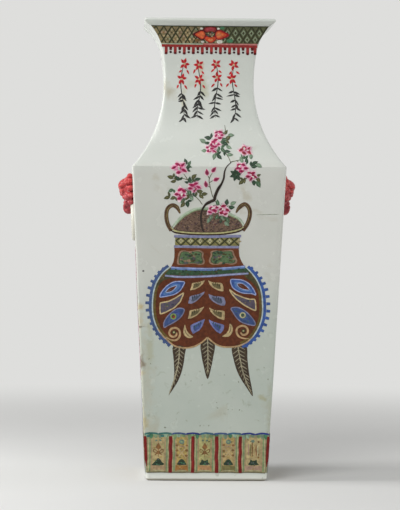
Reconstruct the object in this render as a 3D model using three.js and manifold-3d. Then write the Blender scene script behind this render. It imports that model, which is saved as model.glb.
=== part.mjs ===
// A tall square porcelain vase, built the way a slab potter builds one. Flat wall slabs are mitred and luted
// at the corners over a base slab that seats inside them on the ledge of four foot rails. Four curved slabs
// carry the shoulder and neck up to the flared mouth, and mitred strips make its lip. A smoothed coil of clay
// backs each upright seam from inside. A pressed lion mask holding a fixed ring is luted to the left and right
// walls. Every luted seam is modelled as a thin gap.
//
// Millimetres, +Z up, the front wall faces -Y, and the origin is the centre of the face the vase stands on.

import * as THREE from "three";
import { mergeVertices } from "three/addons/utils/BufferGeometryUtils.js";
import Module from "manifold-3d";

const wasm = await Module();
wasm.setup();

// Overall form
const footWidth = 152.4;
const shoulderWidth = 192.6;
const shoulderHeight = 394.2;
const waistWidth = 112.8;
const lipWidth = 164.4;

// Slabs and seams
const wallThickness = 9;
const neckThickness = 8.5;
const baseThickness = 10;
const luteGap = 0.3;
const cornerRadius = 2.4;
const cornerSteps = 3;
const coilLeg = 7;

// Neck curve: three arcs in a row, each starting where and as steeply as the last one ends
const shoulderRadius = 163.5;
const neckRadius = 237;
const flareRadius = 59.4;
const flareStart = THREE.MathUtils.degToRad(9.3);
const flareEnd = THREE.MathUtils.degToRad(43.6);
const shoulderSteps = 14;
const neckSteps = 4;
const flareSteps = 7;

// Lip strip
const lipHeight = 8.506;
const lipLedge = 0.4;
const lipRound = 2.6;
const lipTopWidth = 9;
const roundSteps = 4;

// Foot rail
const footHeight = 9.9;
const footRailWidth = 13;
const footRound = 4;
const footInnerChamfer = 1;

// Lion masks and their fixed rings. The mask's forms are drawn in fiftieths of its width.
const maskWidth = 50;
const maskUnit = maskWidth / 50;
const maskDrop = 32;
const ringDiameter = 54;
const ringBand = 8;
const ringTopBelowMask = 8.5;
const ringSteps = 32;
const ringSides = 10;

const glaze = { color: 0xc9d0c8, roughness: 0.22, metalness: 0 };
const biscuit = { color: 0xb9ab94, roughness: 0.85, metalness: 0 };
const coral = { color: 0xc8412f, roughness: 0.3, metalness: 0 };

// Half of the outer width of the flat walls at a height, and of the space inside them
const lean = (shoulderWidth - footWidth) / 2 / shoulderHeight;
const outerHalf = (z) => footWidth / 2 + lean * z;
const innerHalf = (z) => outerHalf(z) - wallThickness;

const wallBottom = footHeight + luteGap;
const baseBottom = footHeight + luteGap;
const baseTop = baseBottom + baseThickness;
const neckBottom = shoulderHeight + luteGap;

// The neck's three arcs. An angle is the slope from upright, negative where the slab leans in as it rises.
const waist = { half: waistWidth / 2, angle: 0 };
const shoulderRise = Math.sqrt(
  shoulderRadius ** 2 - (shoulderRadius - (shoulderWidth - waistWidth) / 2) ** 2,
);
waist.z = neckBottom + shoulderRise;
const neckCurve = [
  arc(waist, shoulderRadius, -Math.asin(shoulderRise / shoulderRadius), 0, shoulderSteps),
  arc(waist, neckRadius, 0, flareStart, neckSteps),
];
neckCurve.push(arc(arcPoint(neckCurve[1], flareStart, 0), flareRadius, flareStart, flareEnd, flareSteps));
const neckTopPoint = arcPoint(neckCurve[2], flareEnd, 0);
const neckTop = neckTopPoint.z;
const height = neckTop + luteGap + lipHeight;

// One arc that passes through a point at that point's slope
function arc(through, radius, from, to, steps) {
  const centre = {
    half: through.half + radius * Math.cos(through.angle),
    z: through.z - radius * Math.sin(through.angle),
  };
  return { centre, radius, from, to, steps };
}

// The point of an arc at a slope, on the outer face or at a depth inside it
function arcPoint({ centre, radius }, angle, depth) {
  return {
    half: centre.half - (radius + depth) * Math.cos(angle),
    z: centre.z + (radius + depth) * Math.sin(angle),
    angle,
  };
}

// Points up one face of the neck slab, cut level at the slab's bottom and top
function neckFace(depth) {
  const [first, , last] = neckCurve;
  const slopeAt = (a, z) => Math.asin((z - a.centre.z) / (a.radius + depth));
  const points = [];
  for (const a of neckCurve) {
    const from = a === first ? slopeAt(a, neckBottom) : a.from;
    const to = a === last ? slopeAt(a, neckTop) : a.to;
    for (let i = a === first ? 0 : 1; i <= a.steps; i++) {
      points.push(arcPoint(a, THREE.MathUtils.lerp(from, to, i / a.steps), depth));
    }
  }
  return points;
}

const neckOuterFace = neckFace(0);
const neckInnerFace = neckFace(neckThickness);
const neckInnerTop = neckInnerFace.at(-1).half;

// Profiles are lists of [half width, height] round one slab's section. Its outer face comes first, from the
// bottom up, and outerCount says how many points that face has: these follow the rounded upright corners.
function wallProfile() {
  return {
    outerCount: 2,
    points: [
      [outerHalf(wallBottom), wallBottom],
      [outerHalf(shoulderHeight), shoulderHeight],
      [innerHalf(shoulderHeight), shoulderHeight],
      [innerHalf(wallBottom), wallBottom],
    ],
  };
}

function neckProfile() {
  const pair = (p) => [p.half, p.z];
  return {
    outerCount: neckOuterFace.length,
    points: [...neckOuterFace.map(pair), ...neckInnerFace.map(pair).reverse()],
  };
}

// A quarter round about a centre, from pointing along one angle to pointing along another
function quarter(half, z, radius, from, to) {
  return Array.from({ length: roundSteps + 1 }, (_, i) => {
    const a = THREE.MathUtils.lerp(from, to, i / roundSteps);
    return [half + radius * Math.cos(a), z + radius * Math.sin(a)];
  });
}

function lipProfile() {
  const bottom = neckTop + luteGap;
  const half = lipWidth / 2;
  const outer = [
    [neckTopPoint.half + lipLedge, bottom],
    ...quarter(half - lipRound, height - lipRound, lipRound, -0.4, Math.PI / 2),
  ];
  const inside = [
    [half - lipTopWidth, height],
    [neckInnerTop + luteGap, bottom],
  ];
  return { outerCount: outer.length, points: [...outer, ...inside] };
}

function footProfile() {
  const outer = [
    ...quarter(outerHalf(0) - footRound, footRound, footRound, -Math.PI / 2, 0),
    [outerHalf(footHeight), footHeight],
  ];
  const inner = outerHalf(0) - footRailWidth;
  return {
    outerCount: outer.length,
    points: [...outer, [inner, footHeight], [inner, footInnerChamfer], [inner + footInnerChamfer, 0]],
  };
}

// A slab of one side: its profile carried from mitre to mitre, with the outer face rounded at each corner.
// It is made for the front and lies against -Y.
function mitredSlab({ points, outerCount }) {
  const shape = new THREE.Shape(points.map(([half, z]) => new THREE.Vector2(half, z)));
  const stations = 2 * cornerSteps + 1;
  const geometry = new THREE.ExtrudeGeometry(shape, { depth: stations, steps: stations, bevelEnabled: false });
  const key = (half, z) => `${half.toFixed(3)},${z.toFixed(3)}`;
  const outerKeys = new Set(points.slice(0, outerCount).map(([half, z]) => key(half, z)));
  const position = geometry.getAttribute("position");
  for (let i = 0; i < position.count; i++) {
    const half = position.getX(i);
    const z = position.getY(i);
    const step = Math.round(position.getZ(i));
    const side = step <= cornerSteps ? 1 : -1;
    const turn = (side > 0 ? cornerSteps - step : step - cornerSteps - 1) / cornerSteps;
    const angle = (turn * Math.PI) / 4;
    const rounded = outerKeys.has(key(half, z));
    const across = rounded
      ? half - cornerRadius * (1 - Math.sin(angle))
      : half - cornerRadius * (Math.SQRT1_2 - Math.sin(angle));
    const inset = rounded ? cornerRadius * (1 - Math.cos(angle)) : 0;
    position.setXYZ(i, side * (across - luteGap * Math.SQRT1_2), -half + inset, z);
  }
  return geometry;
}

function mesh(name, geometry, look) {
  const made = new THREE.Mesh(geometry, new THREE.MeshStandardMaterial(look));
  made.name = name;
  return made;
}

const sides = { front: 0, right: Math.PI / 2, back: Math.PI, left: -Math.PI / 2 };

// The same slab on all four sides
function fourSlabs(stem, profile, look) {
  const group = new THREE.Group();
  for (const [side, turn] of Object.entries(sides)) {
    const slab = mesh(`${stem}_${side}`, mitredSlab(profile), look);
    slab.rotation.z = turn;
    group.add(slab);
  }
  return group;
}

// The base slab's edges lean with the walls round it
function baseSlab() {
  const acrossCorners = (z) => (innerHalf(z) - luteGap) * Math.SQRT2;
  const geometry = new THREE.CylinderGeometry(acrossCorners(baseTop), acrossCorners(baseBottom), baseThickness, 4);
  geometry.rotateY(Math.PI / 4).rotateX(Math.PI / 2);
  const slab = mesh("base_slab", geometry, biscuit);
  slab.position.z = (baseBottom + baseTop) / 2;
  return slab;
}

// A coil of clay pressed flat into the upright seam between two walls
function cornerCoil(name, turn) {
  const bottom = baseTop + luteGap;
  const rise = shoulderHeight - bottom;
  const shape = new THREE.Shape([
    new THREE.Vector2(0, 0),
    new THREE.Vector2(-coilLeg, 0),
    new THREE.Vector2(0, -coilLeg),
  ]);
  const geometry = new THREE.ExtrudeGeometry(shape, { depth: rise, bevelEnabled: false });
  const position = geometry.getAttribute("position");
  for (let i = 0; i < position.count; i++) {
    const z = bottom + position.getZ(i);
    const corner = innerHalf(z) - luteGap;
    position.setXYZ(i, corner + position.getX(i), corner + position.getY(i), z);
  }
  const coil = mesh(name, geometry, biscuit);
  coil.rotation.z = turn;
  return coil;
}

function cornerCoils() {
  const group = new THREE.Group();
  const corners = ["back_right", "back_left", "front_left", "front_right"];
  corners.forEach((corner, i) => group.add(cornerCoil(`corner_coil_${corner}`, (i * Math.PI) / 2)));
  return group;
}

// Closed geometry to solid and back
function solidOf(geometry) {
  const bare = geometry.clone();
  bare.deleteAttribute("normal");
  bare.deleteAttribute("uv");
  const merged = mergeVertices(bare);
  return new wasm.Manifold(
    new wasm.Mesh({
      numProp: 3,
      vertProperties: merged.getAttribute("position").array,
      triVerts: new Uint32Array(merged.index.array),
    }),
  );
}

function geometryOf(solid) {
  const { vertProperties, triVerts } = solid.getMesh();
  const geometry = new THREE.BufferGeometry();
  geometry.setAttribute("position", new THREE.BufferAttribute(vertProperties, 3));
  geometry.setIndex(new THREE.BufferAttribute(triVerts, 1));
  geometry.computeVertexNormals();
  return geometry;
}

// A swelling of the mask: an ellipsoid given by its centre [out, across, up] and its three half sizes, all in
// mask units
function swelling([out, across, up], [depth, breadth, rise], detail = 1) {
  const geometry = new THREE.SphereGeometry(maskUnit, 8 + 6 * detail, 5 + 3 * detail);
  geometry.rotateX(Math.PI / 2).scale(depth, breadth, rise);
  geometry.translate(out * maskUnit, across * maskUnit, up * maskUnit);
  return solidOf(geometry);
}

// The same swelling on both cheeks
function pair([out, across, up], sizes) {
  return [swelling([out, across, up], sizes, 0), swelling([out, -across, up], sizes, 0)];
}

// Everything behind the mask's flat back, which is luted to the wall
function wallSide() {
  const box = new THREE.BoxGeometry(maskWidth, 4 * maskWidth, 4 * maskWidth);
  box.translate(luteGap - maskWidth / 2, 0, 0);
  return solidOf(box);
}

// The ring as a whole hoop, half of it behind the face of the wall. Its top lies in the mask's mouth.
function hoop(clearance) {
  const radius = (ringDiameter - ringBand) / 2;
  const geometry = new THREE.TorusGeometry(radius, ringBand / 2 + clearance, ringSides, ringSteps);
  geometry.rotateY(Math.PI / 2).translate(0, 0, -ringTopBelowMask - ringDiameter / 2);
  return solidOf(geometry);
}

const maneCurls = 5;
const maneCurlRadius = 4.6;

// Curls of the mane down both sides of the face
function mane() {
  const curls = [];
  for (let i = 0; i < maneCurls; i++) {
    const angle = THREE.MathUtils.degToRad(THREE.MathUtils.lerp(52, -48, i / (maneCurls - 1)));
    curls.push(
      ...pair([3.5, 21 * Math.cos(angle), 2 + 19.5 * Math.sin(angle)], Array(3).fill(maneCurlRadius)),
    );
  }
  return curls;
}

function lionMask() {
  const forms = [
    swelling([0, 0, 3], [14.5, 20, 21.6]), // skull
    swelling([9.5, 0, 12.5], [8.4, 7.5, 7.6]), // forehead boss
    ...pair([11, 7.6, 10.6], [5.4, 6.6, 3.4]), // brows
    ...pair([12, 8, 5], [4, 3.7, 3.3]), // eyes
    swelling([11.5, 0, 4.5], [6.8, 4.6, 8]), // bridge of the nose
    swelling([13, 0, -0.4], [4.6, 6.2, 3.6]), // nose
    ...pair([9.2, 5.2, -4.6], [6.2, 6, 4.2]), // upper lips
    ...pair([6, 13.5, -4], [6, 6, 8]), // cheeks
    swelling([6.4, 0, -15.5], [8.6, 8.6, 8.6]), // lower jaw
    ...pair([4.5, 15, 19], [4.6, 4.4, 5.4]), // ears
    ...mane(),
  ];
  const whole = forms.reduce((a, b) => a.add(b));
  return geometryOf(whole.subtract(wallSide()).subtract(hoop(luteGap)));
}

function maskRing() {
  return geometryOf(hoop(0).subtract(wallSide()));
}

// A mask and its ring on the outer face of a side wall, which leans out as it rises
function handle(side, turn) {
  const z = shoulderHeight - maskDrop;
  const onWall = new THREE.Group();
  onWall.position.set(outerHalf(z), 0, z);
  onWall.rotation.y = Math.atan(lean);
  onWall.add(mesh(`lion_mask_${side}`, lionMask(), coral), mesh(`mask_ring_${side}`, maskRing(), glaze));
  const group = new THREE.Group();
  group.rotation.z = turn;
  group.add(onWall);
  return group;
}

const vase = new THREE.Group();
vase.add(
  fourSlabs("foot", footProfile(), glaze),
  baseSlab(),
  fourSlabs("wall", wallProfile(), glaze),
  cornerCoils(),
  fourSlabs("neck", neckProfile(), glaze),
  fourSlabs("lip", lipProfile(), glaze),
  handle("right", 0),
  handle("left", Math.PI),
);

export default vase;
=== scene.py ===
"""A tall square porcelain vase, painted with overglaze enamels, on a pale floor.

The glazed shells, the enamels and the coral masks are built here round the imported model. The enamels are
thin raised meshes: each picture is drawn flat, in millimetres on one face, and then laid on that face.
"""

import math
import random

import bmesh
import bpy
from mathutils import Matrix, Vector, noise
from mathutils.geometry import tessellate_polygon


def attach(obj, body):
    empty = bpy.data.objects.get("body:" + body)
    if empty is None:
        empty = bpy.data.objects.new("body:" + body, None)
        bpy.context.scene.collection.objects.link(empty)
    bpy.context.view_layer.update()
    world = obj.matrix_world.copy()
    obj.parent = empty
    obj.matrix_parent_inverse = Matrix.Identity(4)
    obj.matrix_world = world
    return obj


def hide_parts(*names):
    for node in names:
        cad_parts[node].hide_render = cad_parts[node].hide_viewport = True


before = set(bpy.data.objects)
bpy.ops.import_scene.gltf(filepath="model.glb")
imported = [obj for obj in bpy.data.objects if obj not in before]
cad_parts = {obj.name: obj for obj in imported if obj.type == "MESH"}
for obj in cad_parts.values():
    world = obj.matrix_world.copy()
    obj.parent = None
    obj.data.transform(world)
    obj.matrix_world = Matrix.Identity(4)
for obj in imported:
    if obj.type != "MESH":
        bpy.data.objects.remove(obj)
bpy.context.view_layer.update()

MM = 0.001

# Sizes of the vase in millimetres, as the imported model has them
FOOT_HALF = 76.2
SHOULDER_HALF = 96.3
SHOULDER_Z = 394.2
WAIST_HALF = 56.4
SHOULDER_RADIUS = 163.5
NECK_RADIUS = 237.0
FLARE_RADIUS = 59.4
FLARE_START = math.radians(9.3)
FLARE_END = math.radians(43.6)
WALL = 9.0
NECK_WALL = 8.5
FOOT_TOP = 9.9
LIP_HALF = 82.2
TOP = 580.0
BASE_BOTTOM = 10.2

WAIST_Z = SHOULDER_Z + math.sqrt(
    SHOULDER_RADIUS**2 - (SHOULDER_RADIUS - SHOULDER_HALF + WAIST_HALF) ** 2
)
LEAN = (SHOULDER_HALF - FOOT_HALF) / SHOULDER_Z

# The neck's outline is three arcs, each with its centre outside the vase
NECK_ARC = {"half": WAIST_HALF + NECK_RADIUS, "z": WAIST_Z}
FLARE_FOOT = {
    "half": NECK_ARC["half"] - NECK_RADIUS * math.cos(FLARE_START),
    "z": NECK_ARC["z"] + NECK_RADIUS * math.sin(FLARE_START),
}
FLARE_ARC = {
    "half": FLARE_FOOT["half"] + FLARE_RADIUS * math.cos(FLARE_START),
    "z": FLARE_FOOT["z"] - FLARE_RADIUS * math.sin(FLARE_START),
}
NECK_TOP = FLARE_ARC["z"] + FLARE_RADIUS * math.sin(FLARE_END)

SIDES = {"front": 0.0, "right": math.pi / 2, "back": math.pi, "left": -math.pi / 2}


def half_width(z, depth=0.0):
    """Half the vase's width at a height, on its outer face or at a depth inside it."""
    if z <= SHOULDER_Z:
        return FOOT_HALF + LEAN * z - depth
    if z <= WAIST_Z:
        radius = SHOULDER_RADIUS + depth
        return WAIST_HALF + SHOULDER_RADIUS - math.sqrt(max(radius**2 - (WAIST_Z - z) ** 2, 0.0))
    if z <= FLARE_FOOT["z"]:
        radius = NECK_RADIUS + depth
        return NECK_ARC["half"] - math.sqrt(max(radius**2 - (z - WAIST_Z) ** 2, 0.0))
    radius = FLARE_RADIUS + depth
    return FLARE_ARC["half"] - math.sqrt(max(radius**2 - (z - FLARE_ARC["z"]) ** 2, 1.0))


def slope(z):
    """The outline's slope from upright at a height."""
    step = 0.2
    above = min(z + step, NECK_TOP)
    return math.atan((half_width(above) - half_width(above - 2 * step)) / (2 * step))


BROAD_SWELL = 0.45
FINE_SWELL = 0.06


def unevenness(x, y, z):
    """How far the hand-made slab stands out of true at a place, in millimetres."""
    broad = noise.noise(Vector((x / 70, y / 70, z / 90)))
    fine = noise.noise(Vector((x / 30 + 9, y / 30, z / 34)))
    return BROAD_SWELL * broad + FINE_SWELL * fine


def on_face(side, u, z, lift):
    """A point laid on one face: u to the right as that face is seen, z up, lift out of the glaze."""
    half = half_width(z)
    tilt = slope(z)
    place = Matrix.Rotation(SIDES[side], 3, "Z") @ Vector((u, -half, z))
    out = Matrix.Rotation(SIDES[side], 3, "Z") @ Vector((0, -math.cos(tilt), -math.sin(tilt)))
    return (place + out * (lift + unevenness(*place))) * MM


# Flat drawing tools


def smooth(points, closed=False, steps=6):
    """A Catmull-Rom curve through points."""
    count = len(points)
    spans = count if closed else count - 1
    made = []
    for i in range(spans):
        if closed:
            a, b, c, d = (points[(i + k) % count] for k in (-1, 0, 1, 2))
        else:
            a, b = points[max(i - 1, 0)], points[i]
            c, d = points[i + 1], points[min(i + 2, count - 1)]
        for s in range(steps):
            t = s / steps
            place = []
            for p, q, r, w in zip(a, b, c, d):
                bend, twist = 2 * p - 5 * q + 4 * r - w, 3 * q - p - 3 * r + w
                place.append(0.5 * (2 * q + (r - p) * t + bend * t * t + twist * t**3))
            made.append(tuple(place))
    if not closed:
        made.append(tuple(points[-1]))
    return made


def area_of(points):
    """The signed area of a closed outline, positive where it runs anticlockwise."""
    return 0.5 * sum(
        a[0] * b[1] - b[0] * a[1] for a, b in zip(points, points[1:] + points[:1])
    )


def normals_along(points, closed):
    """The left-hand normal at each point of a line."""
    made = []
    count = len(points)
    for i in range(count):
        before = points[i - 1] if closed or i else points[i]
        after = points[(i + 1) % count] if closed or i < count - 1 else points[i]
        along = Vector((after[0] - before[0], after[1] - before[1]))
        along = along.normalized() if along.length > 1e-9 else Vector((1, 0))
        made.append(Vector((-along.y, along.x)))
    return made


def shifted(line, distance):
    """A line moved sideways, to its left where the distance is positive."""
    return [(p[0] + distance * n.x, p[1] + distance * n.y) for p, n in zip(line, normals_along(line, False))]


def eased(points, cut=0.14):
    """A closed outline with straight sides and slightly rounded corners."""
    made = []
    for a, b in zip(points, points[1:] + points[:1]):
        made += [tuple(p + (q - p) * t for p, q in zip(a, b)) for t in (cut, 1 - cut)]
    return made


def turned_about(centre, degrees, points):
    """Points drawn round the origin, turned and moved to a centre."""
    c, s = math.cos(math.radians(degrees)), math.sin(math.radians(degrees))
    return [(centre[0] + x * c - y * s, centre[1] + x * s + y * c) for x, y in points]


def divided(points, closed=False):
    """The same line with no stretch so long that it would cut across the face's curve."""
    made = []
    count = len(points)
    for i in range(count if closed else count - 1):
        a, b = points[i], points[(i + 1) % count]
        parts = math.ceil(math.dist(a, b) / cut_step(a[1])) or 1
        made += [(a[0] + (b[0] - a[0]) * k / parts, a[1] + (b[1] - a[1]) * k / parts) for k in range(parts)]
    return made if closed else made + [tuple(points[-1])]


BODY_STEP = 6.0
NECK_STEP = 3.0


def cut_step(z):
    """How far apart rows of vertices may be at a height: closer on the curved neck."""
    return BODY_STEP if z < SHOULDER_Z else NECK_STEP


# Each level of enamel lies this much above the one under it, with a rim that slopes down to the glaze
LAYER = 0.08
RIM_SINK = 0.04
EDGE = 0.3


# Scene pieces


def linked(name, data):
    """An object in the scene."""
    made = bpy.data.objects.new(name, data)
    bpy.context.scene.collection.objects.link(made)
    return made


def enter(piece, slot, *replaced):
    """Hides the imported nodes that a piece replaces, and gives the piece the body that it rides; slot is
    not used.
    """
    if replaced:
        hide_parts(*replaced)
    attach(piece, "root")


def as_mesh(shape, name, material):
    """Ends the work on a shape and keeps it as a mesh."""
    data = bpy.data.meshes.new(name)
    shape.to_mesh(data)
    shape.free()
    data.materials.append(material)
    return data


def join_rings(shape, rings):
    """Smooth faces between rings of vertices, and from the last ring back to the first."""
    for a, b in zip(rings, rings[1:] + rings[:1]):
        for i in range(len(a)):
            j = (i + 1) % len(a)
            shape.faces.new((a[i], a[j], b[j], b[i])).smooth = True
    bmesh.ops.recalc_face_normals(shape, faces=shape.faces)


class Painting:
    """Everything painted on one face: flat enamel shapes with a soft edge, stacked in levels."""

    def __init__(self):
        self.vertices = []
        self.faces = []
        self.pigments = []

    def add(self, vertices, faces, pigment):
        start = len(self.vertices)
        self.vertices += vertices
        self.faces += [[start + i for i in face] for face in faces]
        self.pigments += [pigment] * len(faces)

    def fill(self, points, pigment, level=0, edge=EDGE):
        """A closed shape of enamel whose rim sinks to the glaze."""
        points = list(points)
        if area_of(points) < 0:
            points.reverse()
        edge = min(edge, 0.2 * math.sqrt(abs(area_of(points))))
        low, high = LAYER * level - RIM_SINK, LAYER * (level + 1)
        inward = normals_along(points, closed=True)
        inner = [(p[0] + edge * n.x, p[1] + edge * n.y) for p, n in zip(points, inward)]
        count = len(points)
        flat = bmesh.new()
        rim = [flat.verts.new((*p, low)) for p in points]
        top = [flat.verts.new((*p, high)) for p in inner]
        for i in range(count):
            j = (i + 1) % count
            flat.faces.new((rim[i], rim[j], top[j], top[i]))
        for tri in tessellate_polygon([[Vector((*p, 0)) for p in inner]]):
            turn = area_of([inner[i] for i in tri])
            if abs(turn) > 1e-6:
                corners = [top[i] for i in tri]
                flat.faces.new(corners if turn > 0 else corners[::-1])
        cut_in_rows(flat, points)
        flat.verts.index_update()
        faces = [[v.index for v in face.verts] for face in flat.faces]
        self.add([tuple(v.co) for v in flat.verts], faces, pigment)
        flat.free()

    def stroke(self, points, width, pigment, level=1, taper=(1.0, 1.0), closed=False):
        """A brush line, highest along its middle, with its width tapered towards either end."""
        points = divided(points, closed)
        across = normals_along(points, closed)
        low, high = LAYER * level - RIM_SINK, LAYER * (level + 1)
        count = len(points)
        vertices = []
        for i, (p, n) in enumerate(zip(points, across)):
            t = i / max(count - 1, 1)
            swell = min(1.0, taper[0] + 3 * t) * min(1.0, taper[1] + 3 * (1 - t))
            half = 0.5 * width * swell
            for offset, lift in ((1, low), (0.45, high), (-0.45, high), (-1, low)):
                vertices.append((p[0] + offset * half * n.x, p[1] + offset * half * n.y, lift))
        faces = []
        for i in range(count if closed else count - 1):
            a, b = 4 * i, 4 * ((i + 1) % count)
            faces += [(a + k + 1, b + k + 1, b + k, a + k) for k in range(3)]
        self.add(vertices, faces, pigment)

    def dot(self, centre, radius, pigment, level=1, squash=1.0, turn=0.0, sides=12):
        """A round or flattened dab."""
        ring = []
        for i in range(sides):
            a = 2 * math.pi * i / sides
            ring.append((radius * math.cos(a), squash * radius * math.sin(a)))
        self.fill(turned_about(centre, turn, ring), pigment, level)

    def leaf(self, centre, length, width, turn, pigment, level=1):
        """A leaf or petal, pointed at both ends and broadest nearer its stalk."""
        steps = 7
        upper, lower = [], []
        for i in range(steps + 1):
            t = i / steps
            half = 0.5 * width * math.sin(math.pi * t**0.8)
            upper.append((length * (t - 0.5), half))
            lower.append((length * (t - 0.5), -half))
        self.fill(turned_about(centre, turn, upper + lower[-2:0:-1]), pigment, level)

    def blade(self, outline, line, inside, level=1, line_width=1.5):
        """A shape with a raised outline round a filled middle."""
        curve = smooth(outline, closed=True, steps=4)
        self.fill(curve, inside, level)
        self.stroke(curve, line_width, line, level + 1, closed=True)

    def object(self, name, side):
        """Lays the painting on a face."""
        order = sorted(set(self.pigments))
        mesh = bpy.data.meshes.new(name)
        mesh.from_pydata([on_face(side, *vertex) for vertex in self.vertices], [], self.faces)
        for face, pigment in zip(mesh.polygons, self.pigments):
            face.material_index = order.index(pigment)
            face.use_smooth = True
        mesh.validate()
        for pigment in order:
            mesh.materials.append(enamel(pigment))
        enter(linked(name, mesh), "glazed_porcelain")


def cut_in_rows(flat, outline):
    """Cuts a flat shape along a grid, so that it can follow the face's curve."""
    for axis in (0, 1):
        low = min(p[axis] for p in outline)
        high = max(p[axis] for p in outline)
        step = BODY_STEP if axis == 0 else cut_step(high)
        for i in range(math.floor(low / step) + 1, math.ceil(high / step)):
            place, across = [0, 0, 0], [0, 0, 0]
            place[axis] = i * step
            across[axis] = 1
            parts = flat.verts[:] + flat.edges[:] + flat.faces[:]
            bmesh.ops.bisect_plane(flat, geom=parts, plane_co=place, plane_no=across, dist=1e-4)


# Materials


def linear(colour):
    """An sRGB colour of 0 to 255 as a linear RGBA."""
    made = []
    for c in colour:
        c /= 255
        made.append(c / 12.92 if c <= 0.04045 else ((c + 0.055) / 1.055) ** 2.4)
    return (*made, 1.0)


BLACK = (0, 0, 0, 1)
WHITE = (1, 1, 1, 1)


def grey(value):
    return (value, value, value, 1)


class Nodes:
    """Adds nodes to one material or world and joins them. An input takes a socket or a value."""

    def __init__(self, owner):
        owner.use_nodes = True
        self.tree = owner.node_tree

    def put(self, value, socket):
        if isinstance(value, bpy.types.NodeSocket):
            self.tree.links.new(value, socket)
        else:
            socket.default_value = value

    def add(self, kind, inputs=(), **settings):
        made = self.tree.nodes.new(kind)
        for key, value in settings.items():
            setattr(made, key, value)
        for key, value in dict(inputs).items():
            self.put(value, made.inputs[key])
        return made

    def place(self):
        """Where a point lies on its object, in metres."""
        return self.add("ShaderNodeTexCoord").outputs["Object"]

    def noise(self, scale, detail, distortion=0.0):
        """A noise in object space, in cycles a metre."""
        inputs = {"Vector": self.place(), "Scale": scale, "Detail": detail, "Distortion": distortion}
        return self.add("ShaderNodeTexNoise", inputs).outputs["Fac"]

    def cells(self, scale, detail):
        """The distance to the nearest of many scattered points, in cells a metre."""
        inputs = {"Vector": self.place(), "Scale": scale, "Detail": detail}
        return self.add("ShaderNodeTexVoronoi", inputs).outputs["Distance"]

    def ramp(self, value, low, high, first=BLACK, second=WHITE):
        """Turns a value into a blend of two colours between two thresholds."""
        made = self.add("ShaderNodeValToRGB", {"Fac": value})
        start, end = made.color_ramp.elements
        start.position, end.position = low, high
        start.color, end.color = first, second
        return made.outputs["Color"]

    def mix(self, factor, first, second, mode="MIX"):
        """One colour over another."""
        inputs = {0: factor, 6: first, 7: second}
        return self.add("ShaderNodeMix", inputs, data_type="RGBA", blend_type=mode).outputs[2]

    def math(self, operation, *values, clamp=False):
        return self.add("ShaderNodeMath", enumerate(values), operation=operation, use_clamp=clamp).outputs[0]

    def vector_math(self, operation, *values):
        made = self.add("ShaderNodeVectorMath", enumerate(values), operation=operation)
        return made.outputs["Value" if operation == "LENGTH" else "Vector"]

    def map_range(self, value, interpolation="LINEAR", **ends):
        """A value spread over other ends, which are named as the node names them."""
        inputs = {"Value": value, **{key.replace("_", " "): end for key, end in ends.items()}}
        return self.add("ShaderNodeMapRange", inputs, interpolation_type=interpolation).outputs["Result"]

    def mix_shader(self, factor, first, second):
        return self.add("ShaderNodeMixShader", {0: factor, 1: first, 2: second}).outputs[0]

    def by_height(self, heights, first, second):
        """One colour below two heights and another above them, blended between."""
        parts = self.add("ShaderNodeSeparateXYZ", {0: self.place()})
        return self.mix(self.ramp(parts.outputs["Z"], *heights), first, second)

    def finish(self, shader, colour, relief, strength, distance, **values):
        """Puts the colour, the relief and the plain values on a shader."""
        self.put(colour, shader.inputs["Base Color"])
        for key, value in values.items():
            self.put(value, shader.inputs[key.replace("_", " ")])
        bump = self.add("ShaderNodeBump", {"Strength": strength, "Distance": distance, "Height": relief})
        self.put(bump.outputs["Normal"], shader.inputs["Normal"])


def surface(name):
    """A new material, its nodes and its shader."""
    material = bpy.data.materials.new(name)
    nodes = Nodes(material)
    return material, nodes, nodes.tree.nodes["Principled BSDF"]


# The glaze: each cloud as its thicker and its thinner colour, then what lies on it
# The lower body, the upper body and the neck: painted darker low down as painted shade, and lighter higher
# up as painted light from above
GLAZE_LOW_PAINTED_SHADE = ((178, 187, 177), (188, 195, 185))
GLAZE_HIGH_PAINTED_LIGHT = ((197, 199, 191), (205, 206, 199))
GLAZE_NECK_PAINTED_LIGHT = ((200, 205, 198), (209, 212, 205))
# The foot band: painted near-white, as painted light caught on the band
GLAZE_FOOT_PAINTED_LIGHT = (232, 234, 226)
GLAZE_MIDDLE = (190, 197, 188)
FOOT_DIRT = (126, 114, 88)
# A greenish-grey mottling that darkens the lower body, strongest at the bottom
LOW_MOTTLE = (140, 146, 122)
GLAZE_DIRTY = (168, 158, 128)
GLAZE_SPECK = (96, 98, 88)
# The heights between which one look of the glaze blends into the next, in metres
DIRT_BLEND = (0.0005, 0.0036)
FOOT_PAINTED_LIGHT_BLEND = (0.0075, 0.009)
LOW_MOTTLE_BLEND = (0.1, 0.26)
UPPER_PAINTED_LIGHT_BLEND = (0.17, 0.27)
NECK_PAINTED_LIGHT_BLEND = (0.385, 0.402)
STAIN_DEPTH = 0.02
# Old stains on the front: place across and up, half width, half height (mm), colour and strength
STAINS = [
    (-84, 218, 5, 6, (180, 162, 112), 0.75), (-84, 200, 5, 15, (188, 178, 150), 0.7),
    (-85.4, 193.6, 7, 1.6, (96, 92, 82), 0.9), (-83, 148, 6, 12, (84, 54, 34), 1.0),
    (-82, 136, 4, 5, (188, 168, 116), 0.7), (-78, 132, 12, 74, (182, 178, 158), 0.45),
    (-72, 166, 5, 30, (168, 170, 140), 0.45), (-79, 74, 6, 17, (172, 158, 112), 0.7),
    (70.7, 105, 9, 4, (160, 156, 116), 0.6), (-10.4, 519, 4.6, 9, (196, 160, 110), 0.85),
    (-6, 494, 7, 12, (182, 182, 150), 0.6), (-32, 478, 4, 17, (188, 182, 146), 0.6),
    (-22, 500, 9, 6, (182, 186, 156), 0.4), (78, 84, 4, 40, (166, 166, 136), 0.35),
]


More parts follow.
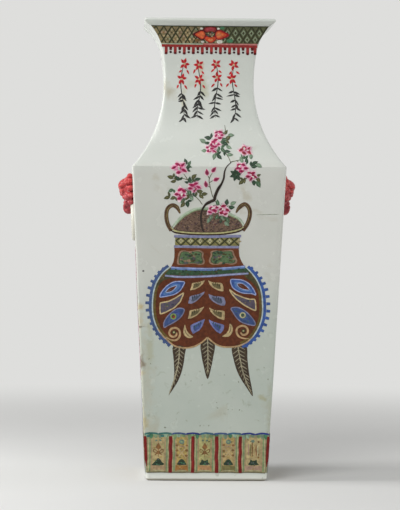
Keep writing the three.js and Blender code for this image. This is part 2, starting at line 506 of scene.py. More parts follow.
def stain(nodes, base, place, ragged, entry):
    """One soft-edged stain over the base colour, ragged where the noise eats into it."""
    u, z, across, up, colour, strength = entry
    away = nodes.vector_math("SUBTRACT", place, (u * MM, -half_width(z) * MM, z * MM))
    share = nodes.vector_math("DIVIDE", away, (across * MM, STAIN_DEPTH, up * MM))
    total = nodes.math("MULTIPLY_ADD", ragged, 2.4, nodes.vector_math("LENGTH", share))
    spread_out = nodes.math("DIVIDE", total, 3.0)
    return nodes.mix(nodes.ramp(spread_out, 0.52, 0.78, grey(strength), BLACK), base, linear(colour))


def glaze_material(name, tint):
    """Greenish-white glaze: faint clouding, painted shade on the lower body and painted light on the upper
    body, the neck and the foot band, brown dirt on the foot's edge, dirty patches, old brown stains, a
    greenish-grey mottling that darkens the lower body, iron specks and a fine orange-peel surface.
    """
    material, nodes, shader = surface(name)
    cloud = nodes.noise(14, 4)

    def clouded(colours):
        return nodes.ramp(cloud, 0.3, 0.7, *(linear(colour) for colour in colours))

    # Painted light on the foot band, under the painted shade of the lower body
    base = nodes.by_height(FOOT_PAINTED_LIGHT_BLEND, linear(GLAZE_FOOT_PAINTED_LIGHT), clouded(GLAZE_LOW_PAINTED_SHADE))
    # Painted light on the upper body and then on the neck, over the painted shade below
    base = nodes.by_height(UPPER_PAINTED_LIGHT_BLEND, base, clouded(GLAZE_HIGH_PAINTED_LIGHT))
    base = nodes.by_height(NECK_PAINTED_LIGHT_BLEND, base, clouded(GLAZE_NECK_PAINTED_LIGHT))
    patches = nodes.ramp(nodes.noise(19, 6, 0.6), 0.62, 0.86)
    base = nodes.mix(patches, base, linear(GLAZE_DIRTY))
    base = nodes.by_height(DIRT_BLEND, linear(FOOT_DIRT), base)
    place, ragged = nodes.place(), nodes.noise(130, 5)
    for entry in STAINS:
        base = stain(nodes, base, place, ragged, entry)
    # Greenish-grey mottling, darker towards the bottom and gone above 0.26 m
    low_mottle = nodes.ramp(nodes.noise(120, 5, 0.8), 0.62, 0.76, BLACK, grey(0.6))
    base = nodes.mix(nodes.by_height(LOW_MOTTLE_BLEND, low_mottle, BLACK), base, linear(LOW_MOTTLE))
    spots = nodes.ramp(nodes.cells(210, 2), 0.07, 0.14, WHITE, BLACK)
    specks = nodes.mix(1.0, spots, nodes.ramp(nodes.noise(25, 2), 0.5, 0.58), "MULTIPLY")
    base = nodes.mix(specks, base, linear(GLAZE_SPECK))
    base = nodes.mix(1.0, base, linear(tint), "MULTIPLY")
    worn = nodes.map_range(nodes.noise(60, 5), To_Min=0.16, To_Max=0.34)
    nodes.finish(shader, base, nodes.noise(420, 2), 0.12, 0.0006, Roughness=worn, IOR=1.5)
    return material


PIGMENTS = {
    "rose_deep": (168, 66, 100), "cherry": (160, 34, 70), "lilac_blue": (118, 126, 176),
    "glaze_mark": (150, 156, 140), "teal_blue": (70, 110, 138), "wine": (120, 24, 60),
    "jade": (92, 116, 80), "steel_blue": (104, 130, 184), "royal_blue": (56, 76, 160),
    "sky_dark": (64, 84, 132), "pale_periwinkle": (166, 178, 216), "motif_plum": (92, 84, 98),
    "ink_blue": (40, 56, 76), "ink_olive": (66, 62, 38), "khaki_dark": (128, 116, 74),
    "khaki": (192, 170, 126), "belly_brown": (98, 50, 28), "throat_brown": (108, 58, 32),
    "bronze_brown": (132, 98, 60), "handle_brown": (98, 72, 50), "ink_brown": (62, 44, 34),
    "tan_line": (188, 156, 114), "cream_line": (206, 186, 140), "cream_pale": (186, 180, 140),
    "lime_cream": (186, 182, 128), "lime": (134, 152, 84), "olive_band": (104, 88, 44),
    "olive_dark": (76, 72, 46), "olive_grey": (108, 98, 68), "olive_pale": (128, 120, 76),
    "pale_olive": (158, 154, 116), "pale_cyan": (188, 204, 202), "periwinkle": (110, 132, 192),
    "lilac": (138, 140, 172), "dusk_lilac": (132, 134, 162), "motif_grey": (84, 90, 108),
    "motif_blue": (70, 86, 138), "sky_blue": (88, 124, 176), "cobalt": (62, 92, 158),
    "slate_blue": (74, 94, 138), "indigo": (52, 62, 132), "teal": (66, 118, 112),
    "slate_green": (112, 134, 118), "slate_grey": (92, 90, 92), "bottle_green": (56, 84, 60),
    "ink_green": (34, 52, 44), "rock_green": (50, 68, 52), "sea_green": (78, 130, 94),
    "leaf_dark": (54, 74, 58), "leaf_green": (74, 104, 76), "leaf_olive": (88, 90, 60),
    "mint": (122, 144, 120), "mint_pale": (150, 178, 150), "pale_green": (142, 164, 124),
    "border_green": (128, 152, 106), "green_wash": (178, 194, 170), "pink": (230, 150, 182),
    "pink_wash": (230, 200, 208), "magenta": (176, 36, 88), "rose_red": (176, 66, 74),
    "crimson": (160, 28, 40), "maroon": (96, 22, 24), "ink_maroon": (62, 20, 26), "bark": (58, 48, 42),
    "soil": (112, 90, 76), "soil_dark": (78, 60, 50), "soil_plum": (88, 66, 74), "leg_brown": (70, 58, 46),
    "leg_dark": (58, 48, 38), "leg_barb": (152, 144, 120), "leg_rib": (172, 164, 136),
    "mouth_red": (158, 52, 50), "border_red": (128, 32, 28), "border_rose": (152, 52, 48),
    "border_pink": (204, 132, 126), "rose_grey": (150, 122, 100), "rose_beige": (176, 146, 124),
    "beige": (176, 150, 114), "peach": (186, 144, 100), "ochre_grey": (188, 169, 122),
    "ochre_gold": (184, 159, 95), "ochre_green": (181, 175, 118), "ochre_deep": (186, 161, 110),
    "ochre_orange": (164, 116, 62), "rust": (146, 104, 66), "diaper_ground": (136, 130, 80),
    "diaper_brown": (142, 127, 90), "diaper_green": (98, 102, 70), "diaper_line": (62, 64, 42),
    "diaper_light": (190, 186, 146), "diaper_cream": (178, 166, 130), "diaper_mint": (146, 160, 130),
    "vermilion": (214, 82, 46), "orange": (228, 116, 68), "orange_pale": (222, 138, 88),
    "white": (232, 230, 218), "ink": (50, 50, 48), "ink_red": (200, 50, 52),
}
made_enamels = {}


def enamel(pigment):
    """One overglaze enamel: it pools and thins, has fine pits, and shines less than the glaze."""
    if pigment in made_enamels:
        return made_enamels[pigment]
    material, nodes, shader = surface(f"enamel_{pigment}")
    colour = PIGMENTS[pigment]
    thick, thin = (linear([c * share for c in colour]) for share in (0.82, 1.04))
    worn = linear([c + (g - c) * 0.2 for c, g in zip(colour, GLAZE_MIDDLE)])
    pool = nodes.noise(260, 4)
    rubbed = nodes.ramp(nodes.noise(900, 3), 0.68, 0.76)
    base = nodes.mix(rubbed, nodes.ramp(pool, 0.34, 0.68, thick, thin), worn)
    nodes.finish(shader, base, pool, 0.2, 0.0003, Roughness=0.3, Specular_IOR_Level=0.2)
    made_enamels[pigment] = material
    return material


# The coral enamel on the face and, darker, on the beard: painted shade in the hollows, painted highlight on
# what stands out, and paler patches painted as highlights
CORAL_FACE_SHADE_AND_HIGHLIGHT = ((118, 24, 36), (210, 82, 80))
CORAL_BEARD_SHADE_AND_HIGHLIGHT = ((92, 26, 38), (184, 74, 80))
CORAL_PAINTED_HIGHLIGHT = (226, 124, 112)
BEARD_BLEND = (0.35, 0.366)


def coral_material():
    """Iron-red enamel on relief: painted shade in the hollows, painted highlight on what stands out, and
    paler patches as painted highlights.
    """
    material, nodes, shader = surface("coral_enamel")
    # Pointiness picks the hollows for painted shade and what stands out for painted highlight
    relief = nodes.add("ShaderNodeNewGeometry").outputs["Pointiness"]
    face, beard = (
        nodes.ramp(relief, 0.44, 0.56, *(linear(colour) for colour in colours))
        for colours in (CORAL_FACE_SHADE_AND_HIGHLIGHT, CORAL_BEARD_SHADE_AND_HIGHLIGHT)
    )
    cloud = nodes.noise(150, 4)
    base = nodes.by_height(BEARD_BLEND, beard, face)
    # Paler patches strewn by noise, painted as highlights
    base = nodes.mix(nodes.ramp(cloud, 0.58, 0.8), base, linear(CORAL_PAINTED_HIGHLIGHT))
    nodes.finish(shader, base, cloud, 0.3, 0.0006, Roughness=0.28, Specular_IOR_Level=0.22)
    return material


def biscuit_material():
    """Bare fired clay with sandy grain, for the coils in the inner corners."""
    material, nodes, shader = surface("biscuit")
    grain = nodes.noise(700, 5)
    base = nodes.ramp(grain, 0.3, 0.7, linear((146, 124, 98)), linear((196, 180, 152)))
    nodes.finish(shader, base, grain, 0.4, 0.0004, Roughness=0.85)
    return material


BACKDROP = (222, 222, 220)
FLOOR = (216, 216, 214)
# How far from the vase the floor begins and ends its blend into the backdrop, in metres
BLEND_NEAR, BLEND_FAR = 0.5, 1.6


def seen_directly(nodes):
    """One for what the camera, a mirror or glass shows, nothing for the light that falls on the object."""
    rays = nodes.add("ShaderNodeLightPath").outputs
    total = rays["Is Camera Ray"]
    for kind in ("Is Glossy Ray", "Is Transmission Ray"):
        total = nodes.math("ADD", total, rays[kind], clamp=True)
    return total


def floor_material():
    """Plain pale paper that is seen as the backdrop's colour far from the vase, so that it ends nowhere."""
    material, nodes, shader = surface("studio_paper")
    lighter = linear([c * 1.01 for c in FLOOR])
    base = nodes.ramp(nodes.noise(3, 3), 0.3, 0.7, linear(FLOOR), lighter)
    nodes.put(base, shader.inputs["Base Color"])
    shader.inputs["Roughness"].default_value = 0.9
    shader.inputs["Specular IOR Level"].default_value = 0.1
    distance = nodes.vector_math("LENGTH", nodes.place())
    share = nodes.map_range(distance, "SMOOTHSTEP", From_Min=BLEND_NEAR, From_Max=BLEND_FAR)
    glow = nodes.add("ShaderNodeEmission", {"Color": linear(BACKDROP)})
    shown = nodes.math("MULTIPLY", seen_directly(nodes), share)
    both = nodes.mix_shader(shown, shader.outputs[0], glow.outputs[0])
    nodes.put(both, nodes.tree.nodes["Material Output"].inputs["Surface"])
    return material


# The glazed shells: a closed outline carried round the square, with rounded corners

OUTER_CORNER = 2.6
INNER_CORNER = 1.6
CORNER_STEPS = 5
ACROSS = 32
SHARP_EDGE = 38


def ring_path(half, corner):
    """Points round a square of one half width, from the middle of the front face's left corner."""
    made = []
    for turn in SIDES.values():
        spin = Matrix.Rotation(turn, 3, "Z")
        straight = half - corner
        for i in range(ACROSS):
            made.append(spin @ Vector((-straight + 2 * straight * i / ACROSS, -half, 0)))
        for i in range(CORNER_STEPS):
            a = math.pi / 2 * i / CORNER_STEPS
            rounded = (straight + corner * math.sin(a), -straight - corner * math.cos(a), 0)
            made.append(spin @ Vector(rounded))
    return made


def glazed_shell(name, outline, stem):
    """outline is a closed list of (half width, height, corner radius, share of the unevenness)."""
    shape = bmesh.new()
    rings = []
    for half, z, corner, share in outline:
        ring = []
        for p in ring_path(half, corner):
            p.z = z
            flat_out = Vector((p.x, p.y, 0)).normalized()
            ring.append(shape.verts.new((p + flat_out * share * unevenness(*p)) * MM))
        rings.append(ring)
    join_rings(shape, rings)
    made = linked(name, as_mesh(shape, name, GLAZED))
    made.data.set_sharp_from_angle(angle=math.radians(SHARP_EDGE))
    enter(made, "glazed_porcelain", *(f"{stem}_{side}" for side in SIDES))


def spread(start, end, step):
    """Heights from start to end, a step or less apart."""
    count = max(1, math.ceil(abs(end - start) / step))
    return [start + (end - start) * i / count for i in range(count + 1)]


def walls_outline():
    outer = [(half_width(z), z, OUTER_CORNER, 1.0) for z in spread(FOOT_TOP, SHOULDER_Z, BODY_STEP)]
    inner = [(half_width(z, WALL), z, INNER_CORNER, 0.0) for z in spread(SHOULDER_Z, BASE_BOTTOM, 24)]
    return outer + inner


def neck_outline():
    outer = [(half_width(z), z, OUTER_CORNER, 1.0) for z in spread(SHOULDER_Z, NECK_TOP, NECK_STEP)]
    inner = [(half_width(z, NECK_WALL), z, INNER_CORNER, 0.0) for z in spread(NECK_TOP, SHOULDER_Z + 0.4, 5)]
    return outer + inner


def foot_outline():
    """The square foot: a rail with a rounded lower edge."""
    rail, rounding, steps = 13.0, 4.0, 6
    outer = []
    for i in range(steps + 1):
        a = math.pi / 2 * i / steps
        half = FOOT_HALF - rounding + rounding * math.sin(a)
        outer.append((half, rounding - rounding * math.cos(a), OUTER_CORNER + 1.5, 0.0))
    outer.append((half_width(FOOT_TOP), FOOT_TOP, OUTER_CORNER + 0.4, 1.0))
    inside = FOOT_HALF - rail
    inner = [(half, z, INNER_CORNER, 0.0) for half, z in ((inside, FOOT_TOP), (inside, 1), (inside + 1, 0))]
    return outer + inner


LIP_ROUND = 2.6
LIP_TOP_WIDTH = 9.0
LIP_CORNER = 1.2


def lip_outline():
    """The lip: a face that slopes out from the neck, a rounded top edge, and a slope down inside."""
    foot = half_width(NECK_TOP)
    made = [(foot - 0.5, NECK_TOP, OUTER_CORNER, 1.0), (foot, NECK_TOP, OUTER_CORNER, 1.0)]
    turns, dip = 7, 0.4
    for i in range(turns + 1):
        a = -dip + (math.pi / 2 + dip) * i / turns
        reach = (LIP_HALF - LIP_ROUND + LIP_ROUND * math.cos(a), TOP - LIP_ROUND + LIP_ROUND * math.sin(a))
        made.append((*reach, INNER_CORNER, 0.4))
    inside = LIP_HALF - LIP_TOP_WIDTH
    made += [(inside + 1.2, TOP, LIP_CORNER, 0.2), (inside - 0.6, TOP - 0.7, LIP_CORNER, 0.0)]
    made.append((half_width(NECK_TOP, NECK_WALL) + 0.3, NECK_TOP, LIP_CORNER, 0.0))
    return made


# Pictures, drawn in millimetres on a face

# The bronze vessel's body: down the left rim and along the foot line to its middle, and up the right side
BODY_LEFT = [
    (-48.5, 268.3), (-54.9, 263.3), (-60.3, 256.8), (-64.8, 248.8), (-67.6, 240.2), (-69, 231.6),
    (-69.6, 221.5), (-69.1, 211.5), (-67, 201.4), (-62.9, 191.4), (-57.1, 183.5), (-51.3, 177.8),
    (-46, 173), (-40.5, 169.6), (-34, 168), (-25, 167.6), (-16.8, 169.4), (-10.5, 172.6), (-5.4, 176.2),
    (-0.4, 181),
]
BODY_RIGHT = [
    (-0.4, 181), (4.7, 176.4), (9.5, 172.8), (14.8, 170.3), (21, 169), (27.8, 168.9), (34.6, 169.6),
    (42, 171.6), (49.3, 175.5), (56.4, 182.1), (62, 190.8), (66.2, 200.9), (68.2, 212.4), (68.1, 223.9),
    (67, 235.4), (64.3, 245.5), (59.9, 254.1), (54, 261.9), (47.5, 268.3),
]
RIM_POINTS = 13
BODY_CENTRE = (0, 222)
COG_TIPS = [
    [
        (-58, 267.4), (-63.1, 263), (-67.4, 257.8), (-72, 251.5), (-75.6, 243.1), (-77.5, 233.4),
        (-78.4, 223.9), (-77.9, 214.4), (-75.7, 205.2), (-72.6, 197.2), (-69, 190.1), (-65.2, 183.9),
        (-61, 178.2), (-55.8, 173.6), (-50, 169.6),
    ],
    [
        (55.4, 269.2), (61.8, 263.4), (67.4, 256.7), (71.7, 249.8), (74.9, 242), (76.8, 233), (77.7, 223.6),
        (77.8, 214.1), (76.6, 204.9), (73.9, 196.4), (70.2, 188.8), (65.3, 182.2), (60.4, 177.2),
        (55.3, 173), (50, 169.4),
    ],
]

BELLY_CORNERS = [
    [
        (-53, 258.4), (-58, 255.4), (-64.4, 247), (-66.4, 240), (-62, 246), (-56.5, 251.4), (-48, 254.6),
        (-41, 256),
    ],
    [
        (45, 261), (51.5, 260.6), (57.5, 254.6), (62.4, 247), (64.4, 239), (59.6, 245), (53.6, 251.4),
        (46, 257),
    ],
]


def even_points(line, step):
    """Points a set distance apart along a line."""
    made = [line[0]]
    carried = 0.0
    for a, b in zip(line, line[1:]):
        length = math.dist(a, b)
        while carried + length >= step:
            t = (step - carried) / length
            a = (a[0] + (b[0] - a[0]) * t, a[1] + (b[1] - a[1]) * t)
            made.append(a)
            length = math.dist(a, b)
            carried = 0.0
        carried += length
    return made


def belly(paint):
    """The round body of the bronze, with its banded rim and the row of cogs outside it."""
    left, right = smooth(BODY_LEFT), smooth(BODY_RIGHT)
    paint.fill(left + right[1:], "belly_brown", 0)
    rims = smooth(BODY_LEFT[:RIM_POINTS]), smooth(BODY_RIGHT[1 - RIM_POINTS:])
    for rim, blue, tips in zip(rims, ("slate_blue", "cobalt"), COG_TIPS):
        paint.stroke(shifted(rim, 2.6), 3.6, "olive_band", 1)
        paint.stroke(rim, 1.6, "pale_cyan", 3)
        paint.stroke(shifted(rim, -2.4), 4.0, blue, 2)
        for tip in tips:
            inward = Vector((BODY_CENTRE[0] - tip[0], BODY_CENTRE[1] - tip[1])).normalized() * 4.8
            paint.stroke([tip, (tip[0] + inward.x, tip[1] + inward.y)], 4.0, blue, 2, taper=(0.8, 1))
    foot_line = smooth(BODY_LEFT[9:]), smooth(BODY_RIGHT[:10])
    for line in foot_line:
        paint.stroke(line, 1.9, "tan_line", 3)
    for seed, corner in enumerate(BELLY_CORNERS):
        paint.fill(smooth(corner, closed=True, steps=3), "olive_dark", 2)
        flecks(paint, corner, 9, ("rose_grey", "olive_band", "leaf_dark"), seed, 3)


def flecks(paint, outline, count, pigments, seed, level, size=(0.5, 1.0)):
    """Small marks strewn inside an outline."""
    rng = random.Random(seed)
    us, zs = [p[0] for p in outline], [p[1] for p in outline]
    for _ in range(6 * count):
        spot = (rng.uniform(min(us), max(us)), rng.uniform(min(zs), max(zs)))
        left, right = span_at(outline, spot[1])
        if left + 1 < spot[0] < right - 1:
            radius, pigment = rng.uniform(*size), rng.choice(pigments)
            paint.dot(spot, radius, pigment, level, 0.6, rng.uniform(-30, 30), sides=8)
            count -= 1
        if not count:
            return


# The inlaid motifs, each from its tip along its top to its blunt end and back
MOTIFS = {
    ("khaki", "olive_grey", "ink_olive"): [
        [
            (-4, 252.8), (-11.6, 250.3), (-20.4, 249), (-21, 245), (-23, 239.5), (-17.6, 240.5),
            (-11.5, 243.3), (-6.7, 247.6),
        ],
        [
            (-0.7, 252.8), (4.8, 250.1), (17, 249.3), (18.9, 244.7), (19.2, 238.6), (13.5, 239.2),
            (6.1, 242.8), (1.8, 247),
        ],
        [
            (-4.3, 219.9), (-11.3, 216.8), (-23.1, 214.8), (-24, 209), (-25.4, 203.9), (-20.9, 204.5),
            (-14.2, 207.9), (-8.8, 212.8),
        ],
        [
            (0.9, 218.7), (7.6, 215.4), (20.7, 214.5), (21.1, 208.1), (20.5, 202.6), (13.8, 204.4),
            (6.5, 209.3), (2.8, 213.5),
        ],
    ],
    ("dusk_lilac", "motif_grey", "ink_blue"): [
        [
            (-4.2, 238.7), (-10.8, 235.3), (-23, 232.5), (-24.1, 227.3), (-25.3, 223.1), (-20.4, 222.8),
            (-14.4, 226.2), (-9.6, 231.1), (-5.4, 235.4),
        ],
        [
            (0.1, 235.7), (6.2, 233), (19.6, 231.9), (22.1, 225.2), (20.9, 220.9), (16.1, 220.9),
            (10, 223.3), (4.5, 226.9), (1.4, 230.6),
        ],
    ],
    ("lilac_blue", "motif_blue", "bottle_green"): [
        [
            (-3.5, 204.3), (-8.1, 202.4), (-22, 196.3), (-21.3, 190.2), (-18.6, 185), (-15.2, 187.1),
            (-10.4, 189.6), (-6.8, 195.1),
        ],
        [
            (0.7, 203.7), (6.5, 200.7), (20.6, 196.8), (19.7, 190.4), (15.8, 185.5), (10.9, 187.9),
            (6, 193.4), (2.6, 198.2),
        ],
    ],
}
BLADES = [
    [
        (-30.5, 236.7), (-42.3, 229.1), (-50.1, 225.5), (-59.6, 223.8), (-60, 216.3), (-59.5, 210),
        (-53.2, 212), (-42.2, 218), (-35.1, 225.2),
    ],
    [
        (26.4, 241.1), (34, 235.2), (43.5, 231.3), (51.5, 229), (58.2, 229), (59.5, 223.5), (59.6, 215.1),
        (54.8, 216.7), (45.2, 221.8), (35.6, 228.9), (30, 235.2),
    ],
]
CRESCENTS = [
    [
        (-28.7, 196.8), (-26.8, 190.7), (-23.7, 185.9), (-18.2, 181.6), (-23.1, 179.8), (-27.3, 181.3),
        (-30.4, 185.2), (-30.5, 190.7),
    ],
    [
        (27.3, 198.4), (30.3, 196), (31.3, 191.1), (29.8, 185.6), (25.6, 181.9), (17.7, 182.2),
        (22.5, 185.6), (25.8, 190.5), (26.7, 194.7),
    ],
]
ALMONDS = [
    (
        [
            (-60.1, 231.4), (-58.9, 236.1), (-53.5, 243.3), (-47.2, 248.1), (-40.9, 250.5), (-30.2, 250.2),
            (-31.3, 245.8), (-35.2, 239.5), (-42.3, 234.7), (-50.2, 232.6), (-56.5, 231.4),
        ],
        [(-53, 237.2), (-48.7, 242.5), (-39.6, 245.6), (-42.4, 241), (-47.1, 237.8)],
    ),
    (
        [
            (27.9, 253), (33.8, 253.8), (43.3, 252.7), (51.3, 248), (56.9, 240.9), (59.4, 234.6),
            (54.6, 236.1), (43.5, 236.9), (35.5, 240), (29.9, 244.7),
        ],
        [(36.2, 248.7), (43.4, 248.4), (51.4, 241.3), (45, 241.2), (38.6, 244)],
    ),
]
EYES = [
    [
        (-54.6, 193.3), (-54.7, 199.7), (-50, 207.6), (-42.1, 214.8), (-35.8, 217.3), (-29.9, 215.7),
        (-31.8, 209.4), (-36.5, 203.8), (-43.6, 199), (-49.9, 195.7),
    ],
    [
        (29, 217.7), (37.3, 218.6), (46.9, 213.9), (54.9, 206), (59, 199.7), (58.2, 196.5), (51.8, 197.2),
        (42.3, 200.3), (35.9, 205.9), (31.1, 213),
    ],
]
# Each eye's iris: centre, and the colours of its ring, its middle and the glint in it
IRISES = [
    ((-43.3, 206.9), "lime", "olive_dark", "crimson"),
    ((43.4, 209.1), "cream_pale", "bottle_green", "slate_grey"),
]
SCROLLS = [
    [
        (-52.9, 181.4), (-47.4, 178.1), (-41, 177), (-36.3, 179.9), (-34.8, 185.5), (-36.6, 190.7),
        (-41.5, 192.6), (-46.3, 190.8), (-48.2, 186.6), (-46.6, 182.7), (-42.6, 181.3), (-39.5, 183.3),
        (-38.9, 186.7),
    ],
    [
        (52, 179.7), (44.1, 180.1), (38.5, 182.8), (35.9, 188.4), (37.4, 193.3), (43.1, 195.8),
        (48.1, 193.8), (50.2, 189.3), (48.4, 185.5), (43.8, 184.4), (41, 187.2),
    ],
]
SCROLL_HEARTS = [(-42.4, 187), (44.6, 189.4)]


def shrunk(outline, share, towards=None):
    """A smaller copy of an outline, drawn in towards its middle or towards a place."""
    if towards is None:
        towards = [sum(p[axis] for p in outline) / len(outline) for axis in (0, 1)]
    return [tuple(towards[axis] + share * (p[axis] - towards[axis]) for axis in (0, 1)) for p in outline]


def motif(paint, outline, line, ground, mark):
    """A leaf-shaped inlay with a row of dark dashes that grow towards its blunt end."""
    paint.fill(eased(outline), line, 1)
    paint.fill(shrunk(eased(outline), 0.62), ground, 2)
    end = tuple((p + q) / 2 for p, q in zip(outline[2], outline[4]))
    for t in (0.36, 0.5, 0.64, 0.78):
        u, z = (p + (q - p) * t for p, q in zip(outline[0], end))
        reach = 1.3 + 2.9 * t
        paint.stroke([(u, z + 0.5 * reach), (u, z - 0.6 * reach)], 1.0 + 1.1 * t, mark, 3, taper=(0.8, 0.4))


def inlay(paint):
    """The inlaid motifs on the belly."""
    for shades, outlines in MOTIFS.items():
        for outline in outlines:
            motif(paint, outline, *shades)
    for outline in BLADES:
        paint.blade(eased(outline), "cream_line", "motif_plum", 1, 1.7)
        shades = ("olive_grey", "leaf_green", "ink_blue", "khaki_dark")
        flecks(paint, shrunk(outline, 0.62), 9, shades, 3, 2, (0.8, 1.4))
    for outline in CRESCENTS:
        paint.fill(smooth(outline, closed=True, steps=3), "khaki", 1)
        middle = [tuple((p + q) / 2 for p, q in zip(outline[i], outline[-i])) for i in (1, 2, 3)]
        paint.stroke(smooth(middle), 0.9, "ink_olive", 2, taper=(0.4, 0.4))
    for outline, centre in ALMONDS:
        paint.blade(outline, "pale_periwinkle", "cobalt", 1, 1.3)
        paint.fill(eased(shrunk(outline, 0.74)), "sky_blue", 2)
        paint.blade(centre, "pale_periwinkle", "belly_brown", 4, 1.0)
        paint.stroke([centre[0], shrunk(centre, 0)[0]], 1.0, "slate_grey", 7, taper=(0.4, 0.4))
    for outline, (iris, ring, middle, glint) in zip(EYES, IRISES):
        paint.blade(outline, "dusk_lilac", "sky_dark", 1, 1.4)
        paint.fill(eased(shrunk(outline, 0.55)), "slate_blue", 2)
        flecks(paint, shrunk(outline, 0.7), 7, ("royal_blue", "leaf_green", "indigo"), 4, 3, (0.8, 1.3))
        paint.dot(iris, 3.9, ring, 4)
        paint.dot(iris, 2.4, middle, 5)
        paint.dot((iris[0] + 0.8, iris[1] - 0.7), 1.2, glint, 6)
    for scroll, heart in zip(SCROLLS, SCROLL_HEARTS):
        paint.stroke(smooth(scroll, steps=5), 2.5, "tan_line", 2, taper=(0.4, 0.7))
        paint.dot(heart, 2.6, "ink_olive", 2)
        paint.dot(heart, 1.3, "lime_cream", 3)


BLUE_LINE = [(-47, 267.6), (-38, 266.9), (-26.3, 266.6), (-0.5, 266.2), (23.8, 267.4), (46, 269.6)]
GREEN_BAND = [
    (-49, 266), (-24, 265), (-0.5, 264.4), (23, 265.8), (48, 268.4), (52.4, 262.8), (45.4, 262.6),
    (20, 260.6), (-0.4, 259.2), (-29.1, 258), (-54.6, 259.4),
]
LOW_LINE = [(-54.2, 257.8), (-37.7, 256.5), (-17.6, 256.7), (2.4, 257.7), (23.9, 259.5), (50, 261.4)]
THROAT = [
    (-47, 268), (-44, 275), (-42.9, 280.6), (-42.7, 287), (-43, 293), (37.6, 293), (38, 288), (38.7, 282.6),
    (41, 277), (45.2, 270), (23, 267.6), (-0.5, 266.6), (-26, 266.8),
]
BAND_LOW, BAND_HIGH = 295.8, 307
FLORET_START, FLORET_PITCH = -34.8, 12.1


CARTOUCHES = [
    [
        (-38.9, 272.1), (-39.4, 277.5), (-38.2, 283.8), (-36.1, 288.4), (-30.8, 289.7), (-24.1, 288.5),
        (-18.3, 289.3), (-11.6, 290.2), (-6.2, 286.9), (-6.6, 281.5), (-4.6, 276.5), (-6, 272.4),
        (-11.4, 271.5), (-18.1, 272.7), (-26.4, 272.2), (-33.1, 271.3),
    ],
    [
        (1.4, 273.7), (0.3, 278.2), (2.6, 284.1), (2.3, 288.2), (7.9, 290.2), (14.2, 289.4), (20.4, 290),
        (27.1, 290.7), (30.8, 289.5), (32.5, 284.3), (35.9, 278.1), (34.7, 273.9), (28.9, 272.2),
        (20.6, 273.2), (12.3, 272.1), (6, 271.8),
    ],
]


def neck_of_bronze(paint):
    """From the green shoulder band up to the diaper band under the rim."""
    paint.fill(THROAT, "throat_brown", 0)
    paint.fill(GREEN_BAND, "bottle_green", 2)
    flecks(paint, GREEN_BAND, 60, ("ink_green", "leaf_green", "olive_dark", "leaf_dark"), 5, 3, (0.9, 1.9))
    for line, width, shade, lift in ((BLUE_LINE, 3.6, "steel_blue", 0.9), (LOW_LINE, 2.7, "lilac", 0)):
        paint.stroke(smooth(line), width, shade, 3)
        paint.stroke([(u, z + lift) for u, z in smooth(line)], 1.0, "pale_periwinkle", 4)
    for seed, panel in enumerate(CARTOUCHES):
        curve = smooth(panel, closed=True, steps=3)
        paint.fill(curve, "rose_grey", 1)
        paint.fill(shrunk(curve, 0.87), "ink_olive", 2)
        inner = shrunk(curve, 0.82)
        paint.fill(inner, "jade", 3)
        shades = ("bottle_green", "slate_grey", "leaf_dark", "rose_grey", "olive_dark")
        flecks(paint, inner, 34, shades, seed, 4, (1.2, 2.8))
    paint.stroke([(-43.4, 294.2), (0, 293.8), (38, 294.2)], 3.3, "lilac", 1)
    band = [(-42, BAND_LOW), (38.2, BAND_LOW - 0.4), (38.9, BAND_HIGH + 0.4), (-42, BAND_HIGH + 0.2)]
    paint.fill(band, "diaper_ground", 0)

    def inside(p):
        return -41.6 < p[0] < 38.2

    start = (FLORET_START, BAND_LOW)
    lattice(paint, start, FLORET_PITCH, BAND_HIGH - BAND_LOW, BAND_HIGH, inside, 1.9, 1)
    for i in range(7):
        centre = (FLORET_START + FLORET_PITCH * i, (BAND_LOW + BAND_HIGH) / 2)
        floret(paint, centre, 3.1, "diaper_light" if centre[0] < 36 else "diaper_cream", "olive_band", 3)
    paint.stroke([(-43.4, 307.2), (0, 306.9), (40.4, 308)], 3.3, "lilac", 4)


def kept(a, b, inside, parts=30):
    """The part of a straight line that lies inside."""
    line = [(a[0] + (b[0] - a[0]) * k / parts, a[1] + (b[1] - a[1]) * k / parts) for k in range(parts + 1)]
    return [p for p in line if inside(p)]


def lattice(paint, start, pitch, rise, high, inside, width, level):
    """Crossing diagonals that leave lozenges of one pitch and rise."""
    reach = (high - start[1]) * pitch / rise
    for k in range(-12, 13):
        u = start[0] + k * pitch
        for order, way in enumerate((-1, 1)):
            line = kept((u, start[1]), (u + way * reach, high), inside)
            if len(line) > 1:
                paint.stroke(line, width, "diaper_line", level + order)


def floret(paint, centre, reach, pigment, heart, level):
    """Four petals round a dark heart."""
    for turn in (0, 90, 180, 270):
        a = math.radians(turn)
        petal = (centre[0] + 0.55 * reach * math.cos(a), centre[1] + 0.55 * reach * math.sin(a))
        paint.leaf(petal, reach, 0.72 * reach, turn, pigment, level)
    paint.dot(centre, 0.28 * reach, heart, level + 1, sides=8)


RIM = [
    (-49.3, 317.2), (-44.9, 313), (-37.2, 311), (-21.9, 309.8), (-2.8, 309.4), (16.2, 310.1), (31.5, 312.3),
    (40.4, 315.1), (44.8, 317.9),
]
HANDLES = [
    [
        (-46.6, 314), (-51.4, 322.8), (-53.2, 333), (-51.6, 341.4), (-46.2, 345.6), (-41.2, 344.2),
        (-38.2, 340.4), (-36.2, 335.6),
    ],
    [
        (42.2, 315), (48, 323.6), (51, 334.4), (49.8, 342.8), (45.2, 347.6), (40.2, 345.8), (36.2, 341.6),
        (33.8, 337),
    ],
]
MOUND = [
    (-44.2, 315.9), (-38.6, 323.6), (-32.3, 330), (-24.7, 335.2), (-15.9, 339.3), (-1.9, 340.2),
    (12.2, 337.8), (23.6, 334.3), (36.4, 328), (42.3, 319.8), (36.6, 315.6), (26.4, 312.6), (9.9, 311),
    (-9.2, 310.8), (-29.6, 311.8),
]
WASH_POINTS = 10


